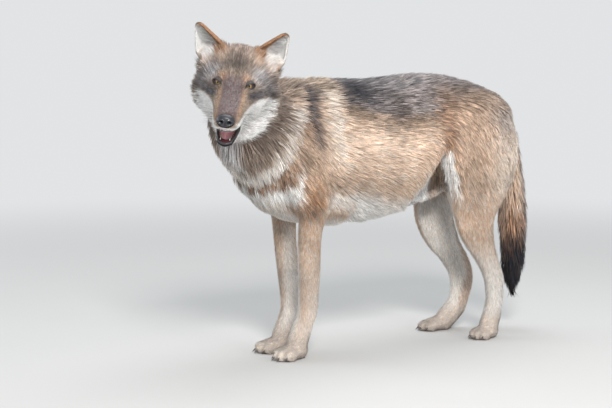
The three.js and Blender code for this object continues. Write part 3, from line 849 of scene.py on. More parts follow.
def lipEdge(upper):
    h = toHead(pointsOf(skin.data))
    hingeY, hingeZ = mouthPlace["hinge"]
    front = mouthPlace["frontCentre"]
    middle = hingeZ + math.tan(math.radians(mouthPlace["gape"] / 2)) * (h[:, 1] - hingeY)
    sign = 1 if upper else -1
    isNear = (np.abs(h[:, 2] - middle) < mouthPlace["tall"]) & (h[:, 1] < mouthPlace["rear"])
    h = h[(sign * (h[:, 2] - middle) > 0) & isNear]
    stations = [(y, 1, 0) for y in np.arange(mouthPlace["sideStart"], front, -mouthPlace["step"])]
    stations += [(front, math.sin(turn), -math.cos(turn)) for turn in np.radians(np.arange(86, -1, -7.2))]
    edge = []
    for y, dx, dy in stations:
        out = h[:, 0] * dx + (h[:, 1] - y) * dy
        off = np.abs(h[:, 0] * dy - (h[:, 1] - y) * dx)
        score = np.where((off < mouthPlace["slice"]) & (out > 0), 0.72 * out - sign * 0.69 * h[:, 2], -1e9)
        edge.append(h[score > score.max() - mouthPlace["tie"]].mean(0))
    edge = np.array(edge)
    return rounded(np.vstack([edge, (edge * (-1, 1, 1))[-2::-1]]), 4)


upperLip, lowerLip = lipEdge(True), lipEdge(False)
lipHalf = len(upperLip) // 2
mouthCorner = (upperLip[0] + lowerLip[0]) / 2 + (-2.0, 9.0, 0)
print("mouth: upper lip from", np.round(upperLip[0]), "to", np.round(upperLip[lipHalf]),
      "lower lip from", np.round(lowerLip[0]), "to", np.round(lowerLip[lipHalf]))


def gapTo(h, path):
    tree = KDTree(len(path) * 4)
    for k, point in enumerate(refined(path, 4)):
        tree.insert(point, k)
    tree.balance()
    near = np.nonzero((np.abs(h[:, 0]) < 75) & (h[:, 1] < -90) & (h[:, 2] < 5) & (h[:, 2] > -125))[0]
    gap = np.full(len(h), 99.0)
    gap[near] = [tree.find(point)[2] for point in h[near]]
    return gap


def alongLip(edge, ahead, axis):
    return np.interp(ahead, -edge[:lipHalf + 1, 1], edge[:lipHalf + 1, axis])


def mouthShares(h, facing):  # bare black lip skin, and the inside of the mouth
    ahead, aside = -h[:, 1], np.abs(h[:, 0])
    wide = np.minimum(alongLip(upperLip, ahead, 0), alongLip(lowerLip, ahead, 0))
    isBetween = (h[:, 2] < alongLip(upperLip, ahead, 2) + 4) & (h[:, 2] > alongLip(lowerLip, ahead, 2) - 4)
    facesIn = (np.abs(facing[:, 2]) > 0.45) | (facing[:, 0] * np.sign(h[:, 0]) < 0.1) | (aside < wide - 12)
    inside = isBetween & (aside < wide - 1.5) & facesIn & (h[:, 1] > upperLip[lipHalf, 1] + 3) & (h[:, 1] < -70)
    chin, rear = ramp(ahead, 214, 236), 1 - ramp(ahead, 150, 205)
    middle = (1 - ramp(aside, 14, 26)) * ramp(ahead, 200, 220)
    upper = 1 - ramp(gapTo(h, upperLip), 3.2 + 3 * middle, 5.2 + 4 * middle)
    lower = 1 - ramp(gapTo(h, lowerLip), 5 + 6 * chin + 5 * rear, 8 + 8 * chin + 6 * rear)
    return np.clip(np.maximum(upper, lower), 0, 1), inside.astype(float)


def softMaterial(name, dark, light, scale, roughness, coat, bump):  # leather, gum, tooth and claw
    material, nodes = newMaterial(name)
    clouds = textured(nodes, "ShaderNodeTexNoise", Scale=scale, Detail=4.0)["Fac"]
    pebbles = textured(nodes, "ShaderNodeTexVoronoi", Scale=scale * 4)["Distance"]
    relief = addNode(nodes, "ShaderNodeBump", {"Strength": bump, "Distance": 0.0004, "Height": pebbles})
    setInputs(nodes["Principled BSDF"], {
        "Base Color": blended(nodes, clouds, dark, light), "Normal": relief.outputs["Normal"],
        "Roughness": maths(nodes, "MULTIPLY_ADD", clouds, 0.25, roughness),
        "Coat Weight": coat, "Coat Roughness": 0.15})
    return material


eyeLook = {  # angles in degrees from the gaze
    "gaze": (0.12, -0.90, 0.36), "iris": 34.0, "pupil": 11.5, "bulge": 1.4, "inner": (0.27, 0.175, 0.06),
    "outer": (0.12, 0.065, 0.024), "ring": (0.02, 0.012, 0.006), "white": (0.07, 0.045, 0.035),
}


def eyeMaterial():
    material, nodes = newMaterial("eye")
    iris, pupil = eyeLook["iris"], eyeLook["pupil"]
    angle, streakPlace = attributeOf(nodes, "offGaze"), attributeOf(nodes, "streak", "Vector")
    streak = addNode(nodes, "ShaderNodeTexNoise", {"Scale": 9, "Vector": streakPlace}).outputs["Fac"]
    inward = rising(nodes, angle, pupil / 90, iris / 90, "LINEAR")
    shade = maths(nodes, "ADD", inward, maths(nodes, "MULTIPLY_ADD", streak, 0.9, -0.45))
    colour = blended(nodes, shade, eyeLook["inner"], eyeLook["outer"])
    for start, end, into in ((iris - 5, iris - 2, "ring"), (iris + 2, iris + 6, "white")):
        colour = blended(nodes, rising(nodes, angle, start / 90, end / 90), colour, eyeLook[into])
    notPupil = rising(nodes, angle, (pupil - 1) / 90, (pupil + 1) / 90)
    setInputs(nodes["Principled BSDF"], {
        "Base Color": blended(nodes, notPupil, (0.004, 0.004, 0.005), colour),
        "Roughness": maths(nodes, "MULTIPLY_ADD", streak, 0.1, 0.12),
        "Specular IOR Level": 0.2, "Coat Weight": 0.6, "Coat Roughness": 0.03})
    return material


softLooks = {  # dark and light colour, scale of the pattern, roughness, coat and bump
    "lidRim": ((0.012, 0.010, 0.010), (0.035, 0.027, 0.025), 500, 0.3, 0.4, 0.3),
    "nose": ((0.008, 0.009, 0.012), (0.026, 0.028, 0.036), 260, 0.28, 0.35, 0.55),
    "lip": ((0.012, 0.011, 0.013), (0.045, 0.040, 0.045), 240, 0.34, 0.3, 0.35),
    "tongue": ((0.90, 0.33, 0.37), (0.97, 0.58, 0.60), 130, 0.3, 0.5, 0.6),
    "tooth": ((0.62, 0.55, 0.42), (0.80, 0.76, 0.68), 90, 0.22, 0.3, 0.05),
    "claw": ((0.035, 0.028, 0.024), (0.12, 0.095, 0.08), 120, 0.32, 0.2, 0.15),
    "whisker": ((0.02, 0.018, 0.018), (0.10, 0.09, 0.085), 60, 0.35, 0.1, 0.05),
}
faceMaterials = {name: softMaterial(name, *look) for name, look in softLooks.items()}
faceMaterials["eye"] = eyeMaterial()


def makeEyes():
    sphere, triangles = ball()
    for side, node in ((1, "eye_left"), (-1, "eye_right")):
        gaze = unit(np.array([eyeLook["gaze"]]) * (side, 1, 1))[0]
        cosine = sphere @ gaze
        angle = np.degrees(np.arccos(np.clip(cosine, -1, 1)))
        size = eyeMaking["ball"] + eyeLook["bulge"] * (1 - ramp(angle, 8, eyeLook["iris"] + 4))
        points = eyePlace(side) + sphere * size[:, None]
        eye = placed(node.replace("_", ""), points, triangles, faceMaterials["eye"], "eye", node)
        setLayer(eye.data, "offGaze", angle / 90)
        flat = unit(sphere - cosine[:, None] * gaze) * 1.3 + angle[:, None] / 90 * gaze * 1.5
        setLayer(eye.data, "streak", flat, "FLOAT_VECTOR", "vector")


tearDuct = ((-13.6, -1.6, 5.5), (-12.2, -1.5, 7.4), (-10.6, -1.2, 8.8), (-9.4, -0.8, 9.6))


def makeLidRims():
    turn = np.linspace(0, 2 * math.pi, 61)
    a = -eyeMaking["wide"] * 1.01 * np.cos(turn)
    upper, lower = lidEdges(a)
    b = np.where(turn <= math.pi, upper, lower)
    size = eyeMaking["ball"] + eyeMaking["lid"] - 0.25
    rim = np.column_stack([a, b, domeOf(size, np.hypot(a, b))])
    for side, name in ((1, "left"), (-1, "right")):
        centre, axes = eyePlace(side), eyeAxes(side)
        for piece, path, radii in (("lidRim_", rim, 0.95 + 0.35 * (turn <= math.pi)),
                                   ("tearDuct_", np.array(tearDuct), (0.7, 1.1, 1.3, 1.0))):
            points, triangles = tube(centre + path @ axes, radii, 10, up=axes[2])
            placed(piece + name, points, triangles, faceMaterials["lidRim"], "nose")


noseMaking = {"radii": (23.4, 16.5, 16.6), "nostril": (10.2, -0.5, 4.6), "depth": 8.0, "tilt": -8}


def makeNose():
    sphere, triangles = ball()
    points = sphere * np.array(noseMaking["radii"])
    _, dy, dz = sphere.T
    points[:, 0] *= 1 - 0.20 * ramp(-dz, 0.0, 1.0) + 0.04 * dz
    points[:, 1] = np.where(points[:, 1] < -11.5, -11.5 + (points[:, 1] + 11.5) * 0.65, points[:, 1])
    front = ramp(-dy, 0.1, 0.5)
    x, z = np.abs(points[:, 0]), points[:, 2]
    groove = bell(x, 0, 1.3) * (1 - ramp(dz, -0.1, 0.45)) * front
    nx, nz, size = noseMaking["nostril"]
    hole = np.exp(-(((x - nx) / size) ** 2 + ((z - nz) / (size * 0.82)) ** 2) ** 1.5)
    slit = bell(z - nz + 1.5 - 0.10 * (x - nx), 0, 1.5) * ramp(x, nx, nx + 3) * (1 - ramp(x, 19, 22))
    wing = bell(np.hypot(x - nx, z - nz), size + 2.0, 1.6)
    inward = unit(points * (0.35, 1, 0.5))
    points -= inward * (groove * 1.9 + front * hole * noseMaking["depth"] + 3.2 * slit * ramp(-dy, 0.0, 0.3))[:, None]
    points += unit(sphere) * (front * wing * 0.9)[:, None]
    tilt = np.array(Matrix.Rotation(math.radians(noseMaking["tilt"]), 3, "X"))
    placed("nose", points @ tilt.T + headPlace["nose"], triangles, faceMaterials["nose"], "nose", "nose")


def makeLips():
    for name, edge, size, ripple in (("upperLip", upperLip, 2.4, 0.0), ("lowerLip", lowerLip, 3.0, 0.10)):
        path = edge.copy()
        path[:, 0] -= np.sign(path[:, 0]) * np.minimum(np.abs(path[:, 0]), 1.0)
        path = rounded(refined(np.vstack([mouthCorner, path, mouthCorner * (-1, 1, 1)]), 3), 6)
        steps = np.arange(len(path))
        fromEnd = np.minimum(steps, steps[::-1]) / len(path)
        radii = size * (0.7 + 0.3 * ramp(fromEnd, 0, 0.2)) * (1 + ripple * np.sin(steps * 1.7))
        placed(name, *tube(path, radii), faceMaterials["lip"], "nose")


def makeTongue():
    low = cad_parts["tongue"].data.copy()
    tongue = objectOf("tongue", low)
    applied(tongue, ("REMESH", {"mode": "VOXEL", "voxel_size": 0.0015}), ("TRIANGULATE", {}))
    mesh = tongue.data
    triangles = cornersOf(mesh, 3)
    points = eased(pointsOf(mesh), edgesOf(mesh), 1.0, 25)
    normals = normalsOf(points, triangles)
    h = toHead(points)
    up = ramp((normals @ headTurn.T)[:, 2], 0.2, 0.7)
    lift = 1.4 * ramp(np.abs(h[:, 0]), 8, 17) * up - 2.2 * bell(h[:, 0], 0, 3.2) * up
    points += normals * lift[:, None] / 1000
    ahead = ramp(-h[:, 1], 120, 215)
    points += (np.column_stack([0 * ahead, -9 * ahead, -1 - 4.0 * ahead]) @ headTurn) / 1000
    movePoints(mesh, points)
    mesh.polygons.foreach_set("use_smooth", np.full(len(mesh.polygons), True))
    mesh.materials.clear()
    mesh.materials.append(faceMaterials["tongue"])
    handOver(tongue, "tongue", "tongue")


# a Geometry Nodes tree that sets a bent, tapering spike on every point: teeth, claws and whiskers
def spikeTree():
    tree, nodes, given, end = newGroup(
        "spikes", "GeometryNodeTree",
        {"Geometry": ["Geometry"], "Length": ("Float", 0.01), "Root Radius": ("Float", 0.002),
         "Tip Radius": ("Float", 0.0003), "Bend": ("Float", 0.0), "Flatten": ("Float", 1.0), "Sides": ("Int", 12),
         "Material": ["Material"]}, {"Geometry": ["Geometry"]})
    cone = addNode(nodes, "GeometryNodeMeshCone", {
        "Side Segments": 10, "Vertices": given["Sides"], "Radius Bottom": given["Root Radius"],
        "Radius Top": given["Tip Radius"], "Depth": given["Length"]})
    place = nodes.new("GeometryNodeInputPosition").outputs[0]
    x, y, z = addNode(nodes, "ShaderNodeSeparateXYZ", {0: place}).outputs
    share = maths(nodes, "DIVIDE", z, given["Length"])
    bent = maths(nodes, "MULTIPLY", maths(nodes, "POWER", share, 2.0), given["Bend"])
    swell = maths(nodes, "SQRT", maths(nodes, "SUBTRACT", 1.001, maths(nodes, "POWER", share, 3.0)))
    across = maths(nodes, "MULTIPLY", maths(nodes, "MULTIPLY", x, given["Flatten"]), swell)
    back = maths(nodes, "ADD", maths(nodes, "MULTIPLY", y, swell), bent)
    whole = addNode(nodes, "ShaderNodeCombineXYZ", {"X": across, "Y": back, "Z": z}).outputs[0]
    made = cone.outputs["Mesh"]
    turn, size = (
        addNode(nodes, "GeometryNodeInputNamedAttribute", {"Name": name}, data_type=kind).outputs["Attribute"]
        for name, kind in (("turn", "FLOAT_VECTOR"), ("size", "FLOAT")))
    rotation = addNode(nodes, "FunctionNodeEulerToRotation", {0: turn}).outputs[0]
    for kind, into, values in (
            ("GeometryNodeSetPosition", "Geometry", {"Position": whole}),
            ("GeometryNodeSetShadeSmooth", "Geometry", {}),
            ("GeometryNodeInstanceOnPoints", "Instance",
             {"Points": given["Geometry"], "Rotation": rotation, "Scale": size}),
            ("GeometryNodeRealizeInstances", "Geometry", {}),
            ("GeometryNodeSetMaterial", "Geometry", {"Material": given["Material"]})):
        made = addNode(nodes, kind, {into: made, **values}).outputs[0]
    setInputs(end, {0: made})
    return tree


spikes = spikeTree()


def standSpikes(name, rows, toWorld, axes, material, look, slot):  # rows of place, aim, bend and size
    places, aims, bends, sizes = (np.array(column, float) for column in zip(*rows))
    z = unit(aims @ axes)
    y = bends @ axes
    y = unit(y - z * (y * z).sum(1, keepdims=True))
    turns = [Matrix(turn.tolist()).to_euler()[:] for turn in np.stack([np.cross(y, z), y, z], 2)]
    mesh = bpy.data.meshes.new(name)
    mesh.from_pydata(toWorld(places).tolist(), [], [])
    setLayer(mesh, "turn", turns, "FLOAT_VECTOR", "vector")
    setLayer(mesh, "size", sizes)
    made = objectOf(name, mesh)
    modifier = made.modifiers.new("spikes", "NODES")
    modifier.node_group = spikes
    values = {**look, "Material": material}
    for item in spikes.interface.items_tree:
        if item.in_out == "INPUT" and item.name in values:
            modifier[item.identifier] = values[item.name]
    made.update_tag()
    handOver(applied(made, ("TRIANGULATE", {})), slot)


toothLook = {
    "Length": 0.010, "Root Radius": 0.0029, "Tip Radius": 0.0004, "Bend": 0.0016, "Flatten": 0.8, "Sides": 12}
toothSizes = {"canine": 1.2, "incisor": 0.5, "cheek": 0.7}
toothRow = [(2.3, "incisor"), (6.6, "incisor"), (11.0, "incisor"), (18.5, "canine"),
            *((29 + 9 * k, "cheek") for k in range(5))]  # how far round the lip from the middle


def makeTeeth():
    rows = []
    for edge, sign, inward, gape in ((upperLip, -1, 5.0, 0), (lowerLip, 1, 6.5, math.radians(mouthPlace["gape"]))):
        side = edge[:lipHalf + 1]
        up = np.array([0, math.sin(gape), math.cos(gape)]) * sign
        run = np.concatenate([[0], np.cumsum(np.linalg.norm(np.diff(side, axis=0), axis=1))])
        for distance, kind in toothRow:
            point = np.array([np.interp(run[-1] - distance, run, line) for line in side.T])
            centreLine = np.array([0, max(point[1], mouthPlace["frontCentre"] + 4), point[2]])
            toMiddle = unit((centreLine - point)[None])[0]
            size = toothSizes[kind] * (0.8 if sign < 0 and kind == "canine" else 1)
            for mirror in ((1, 1, 1), (-1, 1, 1)):
                base = point + toMiddle * inward - up * 2.0
                rows.append((base * mirror, (up - toMiddle * 0.12) * mirror, toMiddle * mirror, size))
    standSpikes("teeth", rows, fromHead, headTurn, faceMaterials["tooth"], toothLook, "coat_pale")


whiskerLook = {
    "Length": 0.058, "Root Radius": 0.00032, "Tip Radius": 0.00006, "Bend": -0.012, "Flatten": 1.0, "Sides": 5}


def makeWhiskers():
    rng = np.random.default_rng(3)
    surface = toHead(pointsOf(skin.data))
    lipHeight = np.interp(-surface[:, 1], -upperLip[:lipHalf, 1], upperLip[:lipHalf, 2])
    surface = surface[surface[:, 2] > lipHeight + 3]
    rows = []
    for side in (1, -1):
        for row in range(4):
            for k in range(5):
                wanted = np.array([side * 27.0, -232 + 9.5 * k + 2 * row, -20 - 6.0 * row + 0.8 * k])
                near = surface[np.argmin(np.linalg.norm(surface - wanted, axis=1))]
                back = 0.25 + 0.14 * k + 0.1 * rng.normal()
                aim = (side * (1.0 + 0.1 * row), back, -0.22 - 0.13 * row + 0.06 * rng.normal())
                size = 0.55 + 0.1 * k + 0.1 * rng.random()
                rows.append((near - (side * 1.0, 0, 0), aim, (0.2 * side, -1, 0.6), size))
    standSpikes("whiskers", rows, fromHead, headTurn, faceMaterials["whisker"], whiskerLook, "coat_grizzled")


clawLook = {
    "Length": 0.017, "Root Radius": 0.0034, "Tip Radius": 0.0006, "Bend": 0.004, "Flatten": 0.75, "Sides": 12}
# feet: middle on the floor, half their width, and which way they are turned
feet = (((50, -30, 0), 42, 1), ((-54, -18, 0), 42, -1), ((88, 618, 0), 38, 1), ((-87, 568, 0), 38, -1))
toeLook = {"turn": 11.0, "across": (-0.64, -0.22, 0.22, 0.64), "sink": 4.0, "height": 13.0, "reach": 110}


def makeClaws():
    surface = toBody(pointsOf(skin.data))
    surface = surface[(surface[:, 2] > 5) & (surface[:, 2] < 22)]
    rows = []
    for middle, half, side in feet:
        turn = math.radians(toeLook["turn"]) * side
        ahead = np.array([math.sin(turn), -math.cos(turn), 0])
        across = np.array([math.cos(turn), math.sin(turn), 0])
        away = surface - middle
        near = away[np.linalg.norm(away[:, :2], axis=1) < toeLook["reach"]]
        for toe in toeLook["across"]:
            row = near[np.abs(near @ across - toe * half) < 3.5]
            tip = (row @ ahead).max() - toeLook["sink"]
            place = np.array(middle) + ahead * tip + across * toe * half + (0, 0, toeLook["height"])
            aim = ahead * 0.9 + across * 0.12 * np.sign(toe) - (0, 0, 0.42)
            rows.append((place, aim, (0, 0, -1), 0.92 if abs(toe) > 0.4 else 1.0))
    standSpikes("claws", rows, fromBody, np.eye(3), faceMaterials["claw"], clawLook, "nose")


for makePiece in (makeEyes, makeLidRims, makeNose, makeLips, makeTongue, makeTeeth, makeWhiskers, makeClaws):
    makePiece()
print("face: eyes, lids, nose, lips, tongue, teeth and whiskers in place, and claws on the feet")


# fur as solid tufts, each a thin three-sided spike, straight where short and bent where long
furMaking = {
    "seed": 7, "straightUnder": 32.0, "thickness": 0.36, "sink": 1.5, "lockSize": 9, "patch": 0.003,
    "pieceFaces": 190000, "soft": 0.7, "fill": 0.895,
}
tuftFaces = {"long": 10, "short": 4}
tuftVaries = {  # how far tufts differ, and within what distance in metres a tuft joins its lock
    "length": 0.16, "lengths": (0.6, 1.5), "height": (0.62, 1.02), "width": (0.7, 1.25), "way": 0.12, "spin": 0.7,
    "place": 0.22, "join": 0.03, "lockTone": 0.5, "ownTone": 0.85, "tones": (-1.1, 0.6),
}
tuftRise = {0.0: 0.0, 0.5: 0.68, 1.0: 1.0}  # how high a tuft is at its root, middle and tip


def unwrapSkin(made):
    made.data.uv_layers.new(name="OFBake")
    bpy.context.view_layer.objects.active = made
    made.select_set(True)
    bpy.ops.object.mode_set(mode="EDIT")
    bpy.ops.mesh.select_all(action="SELECT")
    bpy.ops.uv.smart_project(angle_limit=1.15, island_margin=0.002)
    bpy.ops.object.mode_set(mode="OBJECT")
    made.select_set(False)


def placesFor(points, triangles, density, rng):  # evenly over the skin, as many as each place wants
    corners = points[triangles]
    area = np.linalg.norm(np.cross(corners[:, 1] - corners[:, 0], corners[:, 2] - corners[:, 0]), axis=1) / 2
    total = np.cumsum(area * density[triangles].mean(1) * 1e6)
    count = int(total[-1])
    face = np.searchsorted(total, (np.arange(count) + rng.random(count)) / count * total[-1])
    face = np.minimum(face, len(triangles) - 1)
    u, v = rng.random(count), rng.random(count)
    flip = u + v > 1
    u[flip], v[flip] = 1 - u[flip], 1 - v[flip]
    return face, np.column_stack([1 - u - v, u, v])


def onFaces(values, triangles, face, shares):
    taken = values[triangles[face]]
    return (taken * (shares[..., None] if values.ndim > 1 else shares)).sum(1)


def nearestOf(points, sites):
    tree = KDTree(len(sites))
    for i, site in enumerate(sites):
        tree.insert(site, i)
    tree.balance()
    return np.array([tree.find(point)[1] for point in points])


def settle(ends, heights, points, normals):  # how far each tip moves so that it stays its own height above the skin
    near = nearestOf(ends, points)
    above = ((ends - points[near]) * normals[near]).sum(1)
    return normals[near] * (heights / 1000 - above).clip(-0.018, 0.003)[:, None]


def facesOf(rings):  # of one tuft, whose last ring is a single point
    faces = [(2, 1, 0)]
    for low in range(0, 3 * rings, 3):
        for k, after in ((0, 1), (1, 2), (2, 0)):
            if low + 3 == 3 * rings:
                faces.append((low + k, low + after, low + 3))
            else:
                faces += [(low + k, low + after, low + 3 + after), (low + k, low + 3 + after, low + 3 + k)]
    return np.array(faces)


def tuftMesh(name, tuft, stations):
    roots, up, way = tuft["root"], tuft["up"], tuft["way"]
    count = len(roots)
    side = unit(np.cross(way, up))
    spin = tuft["spin"][:, None]
    side, rise = side * np.cos(spin) + up * np.sin(spin), up * np.cos(spin) - side * np.sin(spin)
    long, high, half = (tuft[key][:, None] / 1000 for key in ("long", "high", "half"))
    gather = tuft["gather"][:, None]

    def centre(along):
        place = roots + way * long * along + up * high * tuftRise[along] - up * furMaking["sink"] * (1 - along) / 1000
        return place + tuft["pull"] * gather * along ** 1.5 + tuft["drop"] * along ** 1.6

    rings, normals = [], []
    for along in stations:
        middle, size = centre(along), half * (1.0 if along == 0 else 0.9)
        thick = size * 2 * furMaking["thickness"]
        low, ridge = middle - rise * thick * 0.4, middle + rise * thick * 0.8
        rings += [low + side * size, low - side * size, ridge]
        normals += [side * 0.9 + rise * 0.3, rise * 0.3 - side * 0.9, rise]
    rings.append(centre(1.0))
    normals.append(rise + way * 0.3)
    per = len(rings)
    points = np.stack(rings, 1).reshape(-1, 3)
    points[:, 2] = np.maximum(points[:, 2], 0.0004)  # nothing under the floor
    faces = (facesOf(len(stations))[None] + (np.arange(count) * per)[:, None, None]).reshape(-1, 3)
    mesh = meshFrom(name, points, faces)
    along = np.array([*np.repeat(stations, 3), 1.0])
    lower, upper = (np.clip(along * 2 - k, 0, 1)[None, :, None] for k in (0, 1))
    under, main, tip = (tuft[key][:, None] for key in ("under", "main", "tip"))
    setColours(mesh, "coatColour", (under + lower * (main - under) + upper * (tip - main)).reshape(-1, 3))
    setLayer(mesh, "along", np.tile(along, count))
    setLayer(mesh, "lock", np.repeat(tuft["lock"], per))
    soft = unit(np.stack(normals, 1).reshape(-1, 3)) * (1 - furMaking["soft"])
    mesh.normals_split_custom_set_from_vertices(unit(soft + np.repeat(up, per, 0) * furMaking["soft"]))
    across = np.array([-0.5, 0.5, 0.0] * len(stations) + [0.0])
    patch = np.stack([across * (1 - 0.8 * along), along], 1) * furMaking["patch"] * 0.9
    places = (tuft["uv"][:, None] + patch[None]).reshape(-1, 2)
    layer = mesh.uv_layers.new(name="OFBake")
    layer.uv.foreach_set("vector", places[faces.ravel()].astype(np.float32).ravel())
    return mesh


# growing the coat: a bare-skin mask, then long and short tufts, split into pieces small enough to handle
def bareOf(points, normals):
    h = toHead(points)
    lip, inside = mouthShares(h, normals @ headTurn.T)
    noseGap = np.linalg.norm((h - headPlace["nose"]) / (np.array(noseMaking["radii"]) + 1.0), axis=1)
    bare = np.maximum(1 - ramp(noseGap, 1.0, 1.08), np.maximum(ramp(lip, 0.4, 0.7), inside))
    lids = 0 * lip
    bareWide, bareHigh = eyeMaking["bare"]
    for side in (1, -1):
        a, b, c = ((h - eyePlace(side)) @ eyeAxes(side).T).T
        lids = np.maximum(lids, (1 - ramp((a / bareWide) ** 2 + (b / bareHigh) ** 2, 0.8, 1.15)) * (c > 0))
    sole = (1 - ramp(toBody(points)[:, 2], 1, 4)) * ramp(-normals[:, 2], 0.6, 0.9)
    return np.maximum(bare, np.maximum(sole, lids)), lip, inside, lids


bareColours = ((0.02, 0.018, 0.02), (0.075, 0.022, 0.026), (0.030, 0.024, 0.022))  # lips, the inside of the mouth (its own red deepened to near black as painted shade), and eyelids


def growCoat():
    rng = np.random.default_rng(furMaking["seed"])
    mesh = skin.data
    points, triangles, edges = pointsOf(mesh), cornersOf(mesh, 3), edgesOf(mesh)
    normals = unit(spread(normalsOf(points, triangles), edges, 0.5, 3))
    uv = numbersOf(mesh.uv_layers["OFBake"].uv, "vector", np.float32, 2)
    cornerOf = np.arange(len(uv)).reshape(-1, 3)
    lie = lieOf(points, normals, edges)
    bare, *bareShares = bareOf(points, normals)
    sizes = coatSizes(points, normals)
    wanted = furMaking["fill"] * (1 - bare) * sizes["layers"] / (0.5 * sizes["length"] * sizes["width"])
    tailEnd = regionsOf(points)["tailEnd"]
    isLong = ramp(sizes["length"], furMaking["straightUnder"] - 1, furMaking["straightUnder"] + 1)
    made = []
    for kind, share in (("long", isLong), ("short", 1 - isLong)):
        face, shares = placesFor(points, triangles, wanted * share, rng)

        def here(values):
            return onFaces(values, triangles, face, shares)

        root, up, way = here(points), unit(here(normals)), here(lie)
        count = len(root)
        chance = rng.random(count)
        long = here(sizes["length"]) * rng.normal(1, tuftVaries["length"], count).clip(*tuftVaries["lengths"])
        high = here(sizes["depth"]) * rng.uniform(*tuftVaries["height"], count) + 0.04 * long
        way = way + rng.normal(0, tuftVaries["way"], (count, 3))
        way = unit(way - up * (way * up).sum(1, keepdims=True))
        sites = root[rng.choice(count, max(2, count // furMaking["lockSize"]), replace=False)]
        lock = nearestOf(root, sites)
        first = np.zeros(len(sites), int)
        first[lock] = np.arange(count)
        end = root + (way * long[:, None] + up * high[:, None]) / 1000
        pull = end[first[lock]] - end
        pull *= (np.linalg.norm(pull, axis=1) < tuftVaries["join"])[:, None]
        shift = rng.normal(0, tuftVaries["place"], (len(sites), 2))[lock]  # locks keep one colour
        shift = shift * long[:, None] / 1000
        drop = settle(end, high, points, normals) * (1 - here(tailEnd))[:, None]
        seen = root + (way * 0.6 * long[:, None] + up * high[:, None]) / 1000
        seen = seen + way * shift[:, :1] + np.cross(way, up) * shift[:, 1:] * 0.4
        main, tip, tipped, fleck = markingsOf(seen, up)
        lockChance = rng.random(len(sites))[lock]
        tone = rng.normal(0, tuftVaries["lockTone"], len(sites))[lock] + rng.normal(0, tuftVaries["ownTone"], count)
        tone = np.exp((fleck * tone).clip(*tuftVaries["tones"]))[:, None]
        main, tip = main * tone, tip * tone ** 0.5
        isTipped = 0.6 * lockChance + 0.4 * chance < 0.2 + 0.6 * tipped
        tuft = {
            "root": root, "up": up, "way": way, "long": long, "high": high, "pull": pull, "drop": drop, "main": main,
            "half": here(sizes["width"]) * rng.uniform(*tuftVaries["width"], count) / 2,
            "gather": here(sizes["gather"]),
            # the root end of each tuft is painted darker than its main colour: painted shade, where the tufts shadow
            # one another
            "tip": np.where(isTipped[:, None], tip, main * 1.1), "under": main * (0.88, 0.85, 0.83),
            "lock": chance, "spin": rng.uniform(-tuftVaries["spin"], tuftVaries["spin"], count),
            "uv": onFaces(uv, cornerOf, face, shares),
        }
        pieces = max(1, math.ceil(count * tuftFaces[kind] / furMaking["pieceFaces"]))
        order = np.argsort(root[:, 1] if kind == "long" else root[:, 2], kind="stable")
        for i, chosen in enumerate(np.array_split(order, pieces)):
            some = {key: values[chosen] for key, values in tuft.items()}
            piece = tuftMesh(f"coat_{kind}_{i + 1}", some, (0.0, 0.5) if kind == "long" else (0.0,))
            piece.materials.append(furMaterials[kind])
            made.append(objectOf(piece.name, piece))
        print("coat:", kind, count, "tufts in", pieces, "pieces")
    # the skin under the fur is painted darker than its markings: painted shade in the gaps between the tufts
    skinColour = markingsOf(points, normals)[0] * 0.85
    for share, colour in zip(bareShares, bareColours):
        skinColour += share[:, None] * (colour - skinColour)
    setColours(mesh, "coatColour", skinColour)
    for name in ("along", "lock"):
        setLayer(mesh, name, np.full(len(points), 0.5))
    return made


unwrapSkin(skin)
skin.data.materials.append(furMaterial("skin", 600, 0.7, 0.0))
for piece in growCoat():
    handOver(piece, "coat_grizzled")
handOver(skin, "coat_tan", *fleshNodes)


# camera, floor and light
cameraLook = {"place": (3.5535, -2.4056, 0.88), "azimuth": 58.5, "dip": 6.1, "lens": 89.7, "sensor": 36}
studio = {"floor": (0.55, 0.545, 0.535), "backdrop": (0.76, 0.77, 0.78), "sky": (0.90, 0.95, 1.0), "skyPower": 0.55,
          "size": 120, "fadeFrom": 1.3, "fadeTo": 4.6, "lampAim": (0, 0, 0.5)}
lamps = {
    "key": {"place": (4.1, -1.9, 3.5), "size": 1.5, "power": 290, "colour": (1.0, 0.98, 0.95)},
    "side": {"place": (4.0, 0.8, 0.8), "size": 2.2, "power": 56, "colour": (0.98, 0.99, 1.0)},
    "fill": {"place": (-3.0, -2.6, 1.8), "size": 3.0, "power": 40, "colour": (0.93, 0.96, 1.0)},
    "top": {"place": (-0.6, 0.8, 3.6), "size": 2.6, "power": 60, "colour": (0.95, 0.98, 1.0)},
}


def aimed(name, data, place, aim):
    holder = objectOf(name, data)
    holder.location = place
    holder.rotation_mode = "QUATERNION"
    holder.rotation_quaternion = Vector(aim).to_track_quat("-Z", "Y")
    return holder


def placeCamera():
    lens = bpy.data.cameras.new("camera")
    lens.lens, lens.sensor_width = cameraLook["lens"], cameraLook["sensor"]
    lens.clip_start, lens.clip_end = 0.05, 200
    a, d = math.radians(cameraLook["azimuth"]), math.radians(cameraLook["dip"])
    aim = (-math.sin(a) * math.cos(d), math.cos(a) * math.cos(d), -math.sin(d))
    scene.camera = aimed("camera", lens, cameraLook["place"], aim)


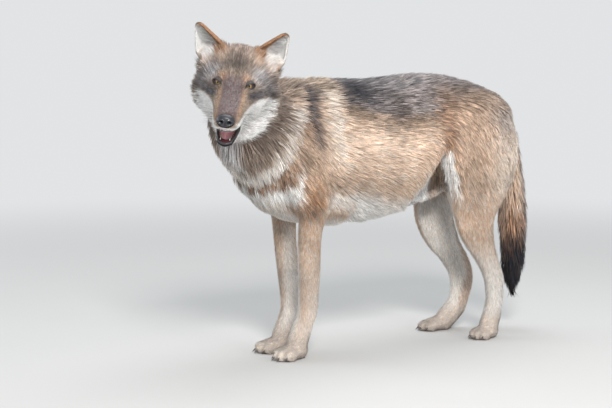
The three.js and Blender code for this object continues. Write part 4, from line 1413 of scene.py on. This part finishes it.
def floorMaterial():  # pale, fading with distance into the backdrop's own colour
    material, nodes = newMaterial("paleFloor")
    place = nodes.new("ShaderNodeTexCoord").outputs["Object"]
    away = addNode(nodes, "ShaderNodeVectorMath", {0: place}, operation="LENGTH").outputs["Value"]
    fade = rising(nodes, away, studio["fadeFrom"], studio["fadeTo"])
    dust = textured(nodes, "ShaderNodeTexNoise", Scale=3.0, Detail=3.0)["Fac"]
    plain = blended(nodes, dust, tuple(0.98 * c for c in studio["floor"]), studio["floor"])
    black = (0.0, 0.0, 0.0)
    setInputs(nodes["Principled BSDF"], {
        "Base Color": blended(nodes, fade, plain, black), "Roughness": 1.0, "Specular IOR Level": 0.0,
        "Emission Color": blended(nodes, fade, black, studio["backdrop"]), "Emission Strength": 1.0})
    return material


def placeFloor():
    side = studio["size"] / 2
    mesh = meshFrom("floor", [(-side, -side, 0), (side, -side, 0), (side, side, 0), (-side, side, 0)],
                    [(0, 1, 2), (0, 2, 3)], smooth=False)
    floor = objectOf("floor", mesh)
    mesh.materials.append(floorMaterial())


def placeLight():
    world = scene.world = bpy.data.worlds.new("studio")
    world.use_nodes = True
    nodes = world.node_tree.nodes
    light = nodes["Background"]
    setInputs(light, {"Color": studio["sky"], "Strength": studio["skyPower"]})
    seen = addNode(nodes, "ShaderNodeBackground", {"Color": studio["backdrop"]})
    isSeen = nodes.new("ShaderNodeLightPath").outputs["Is Camera Ray"]
    mix = addNode(nodes, "ShaderNodeMixShader", {0: isSeen, 1: light.outputs[0], 2: seen.outputs[0]})
    setInputs(nodes["World Output"], {"Surface": mix.outputs[0]})
    for name, look in lamps.items():
        lamp = bpy.data.lights.new(name, "AREA")
        lamp.shape, lamp.size, lamp.energy, lamp.color = "DISK", look["size"], look["power"], look["colour"]
        aimed(name, lamp, look["place"], Vector(studio["lampAim"]) - Vector(look["place"]))


placeCamera()
placeFloor()
placeLight()
scene.view_settings.view_transform = "Standard"
print("stage: camera, floor and", len(lamps), "lamps in place")
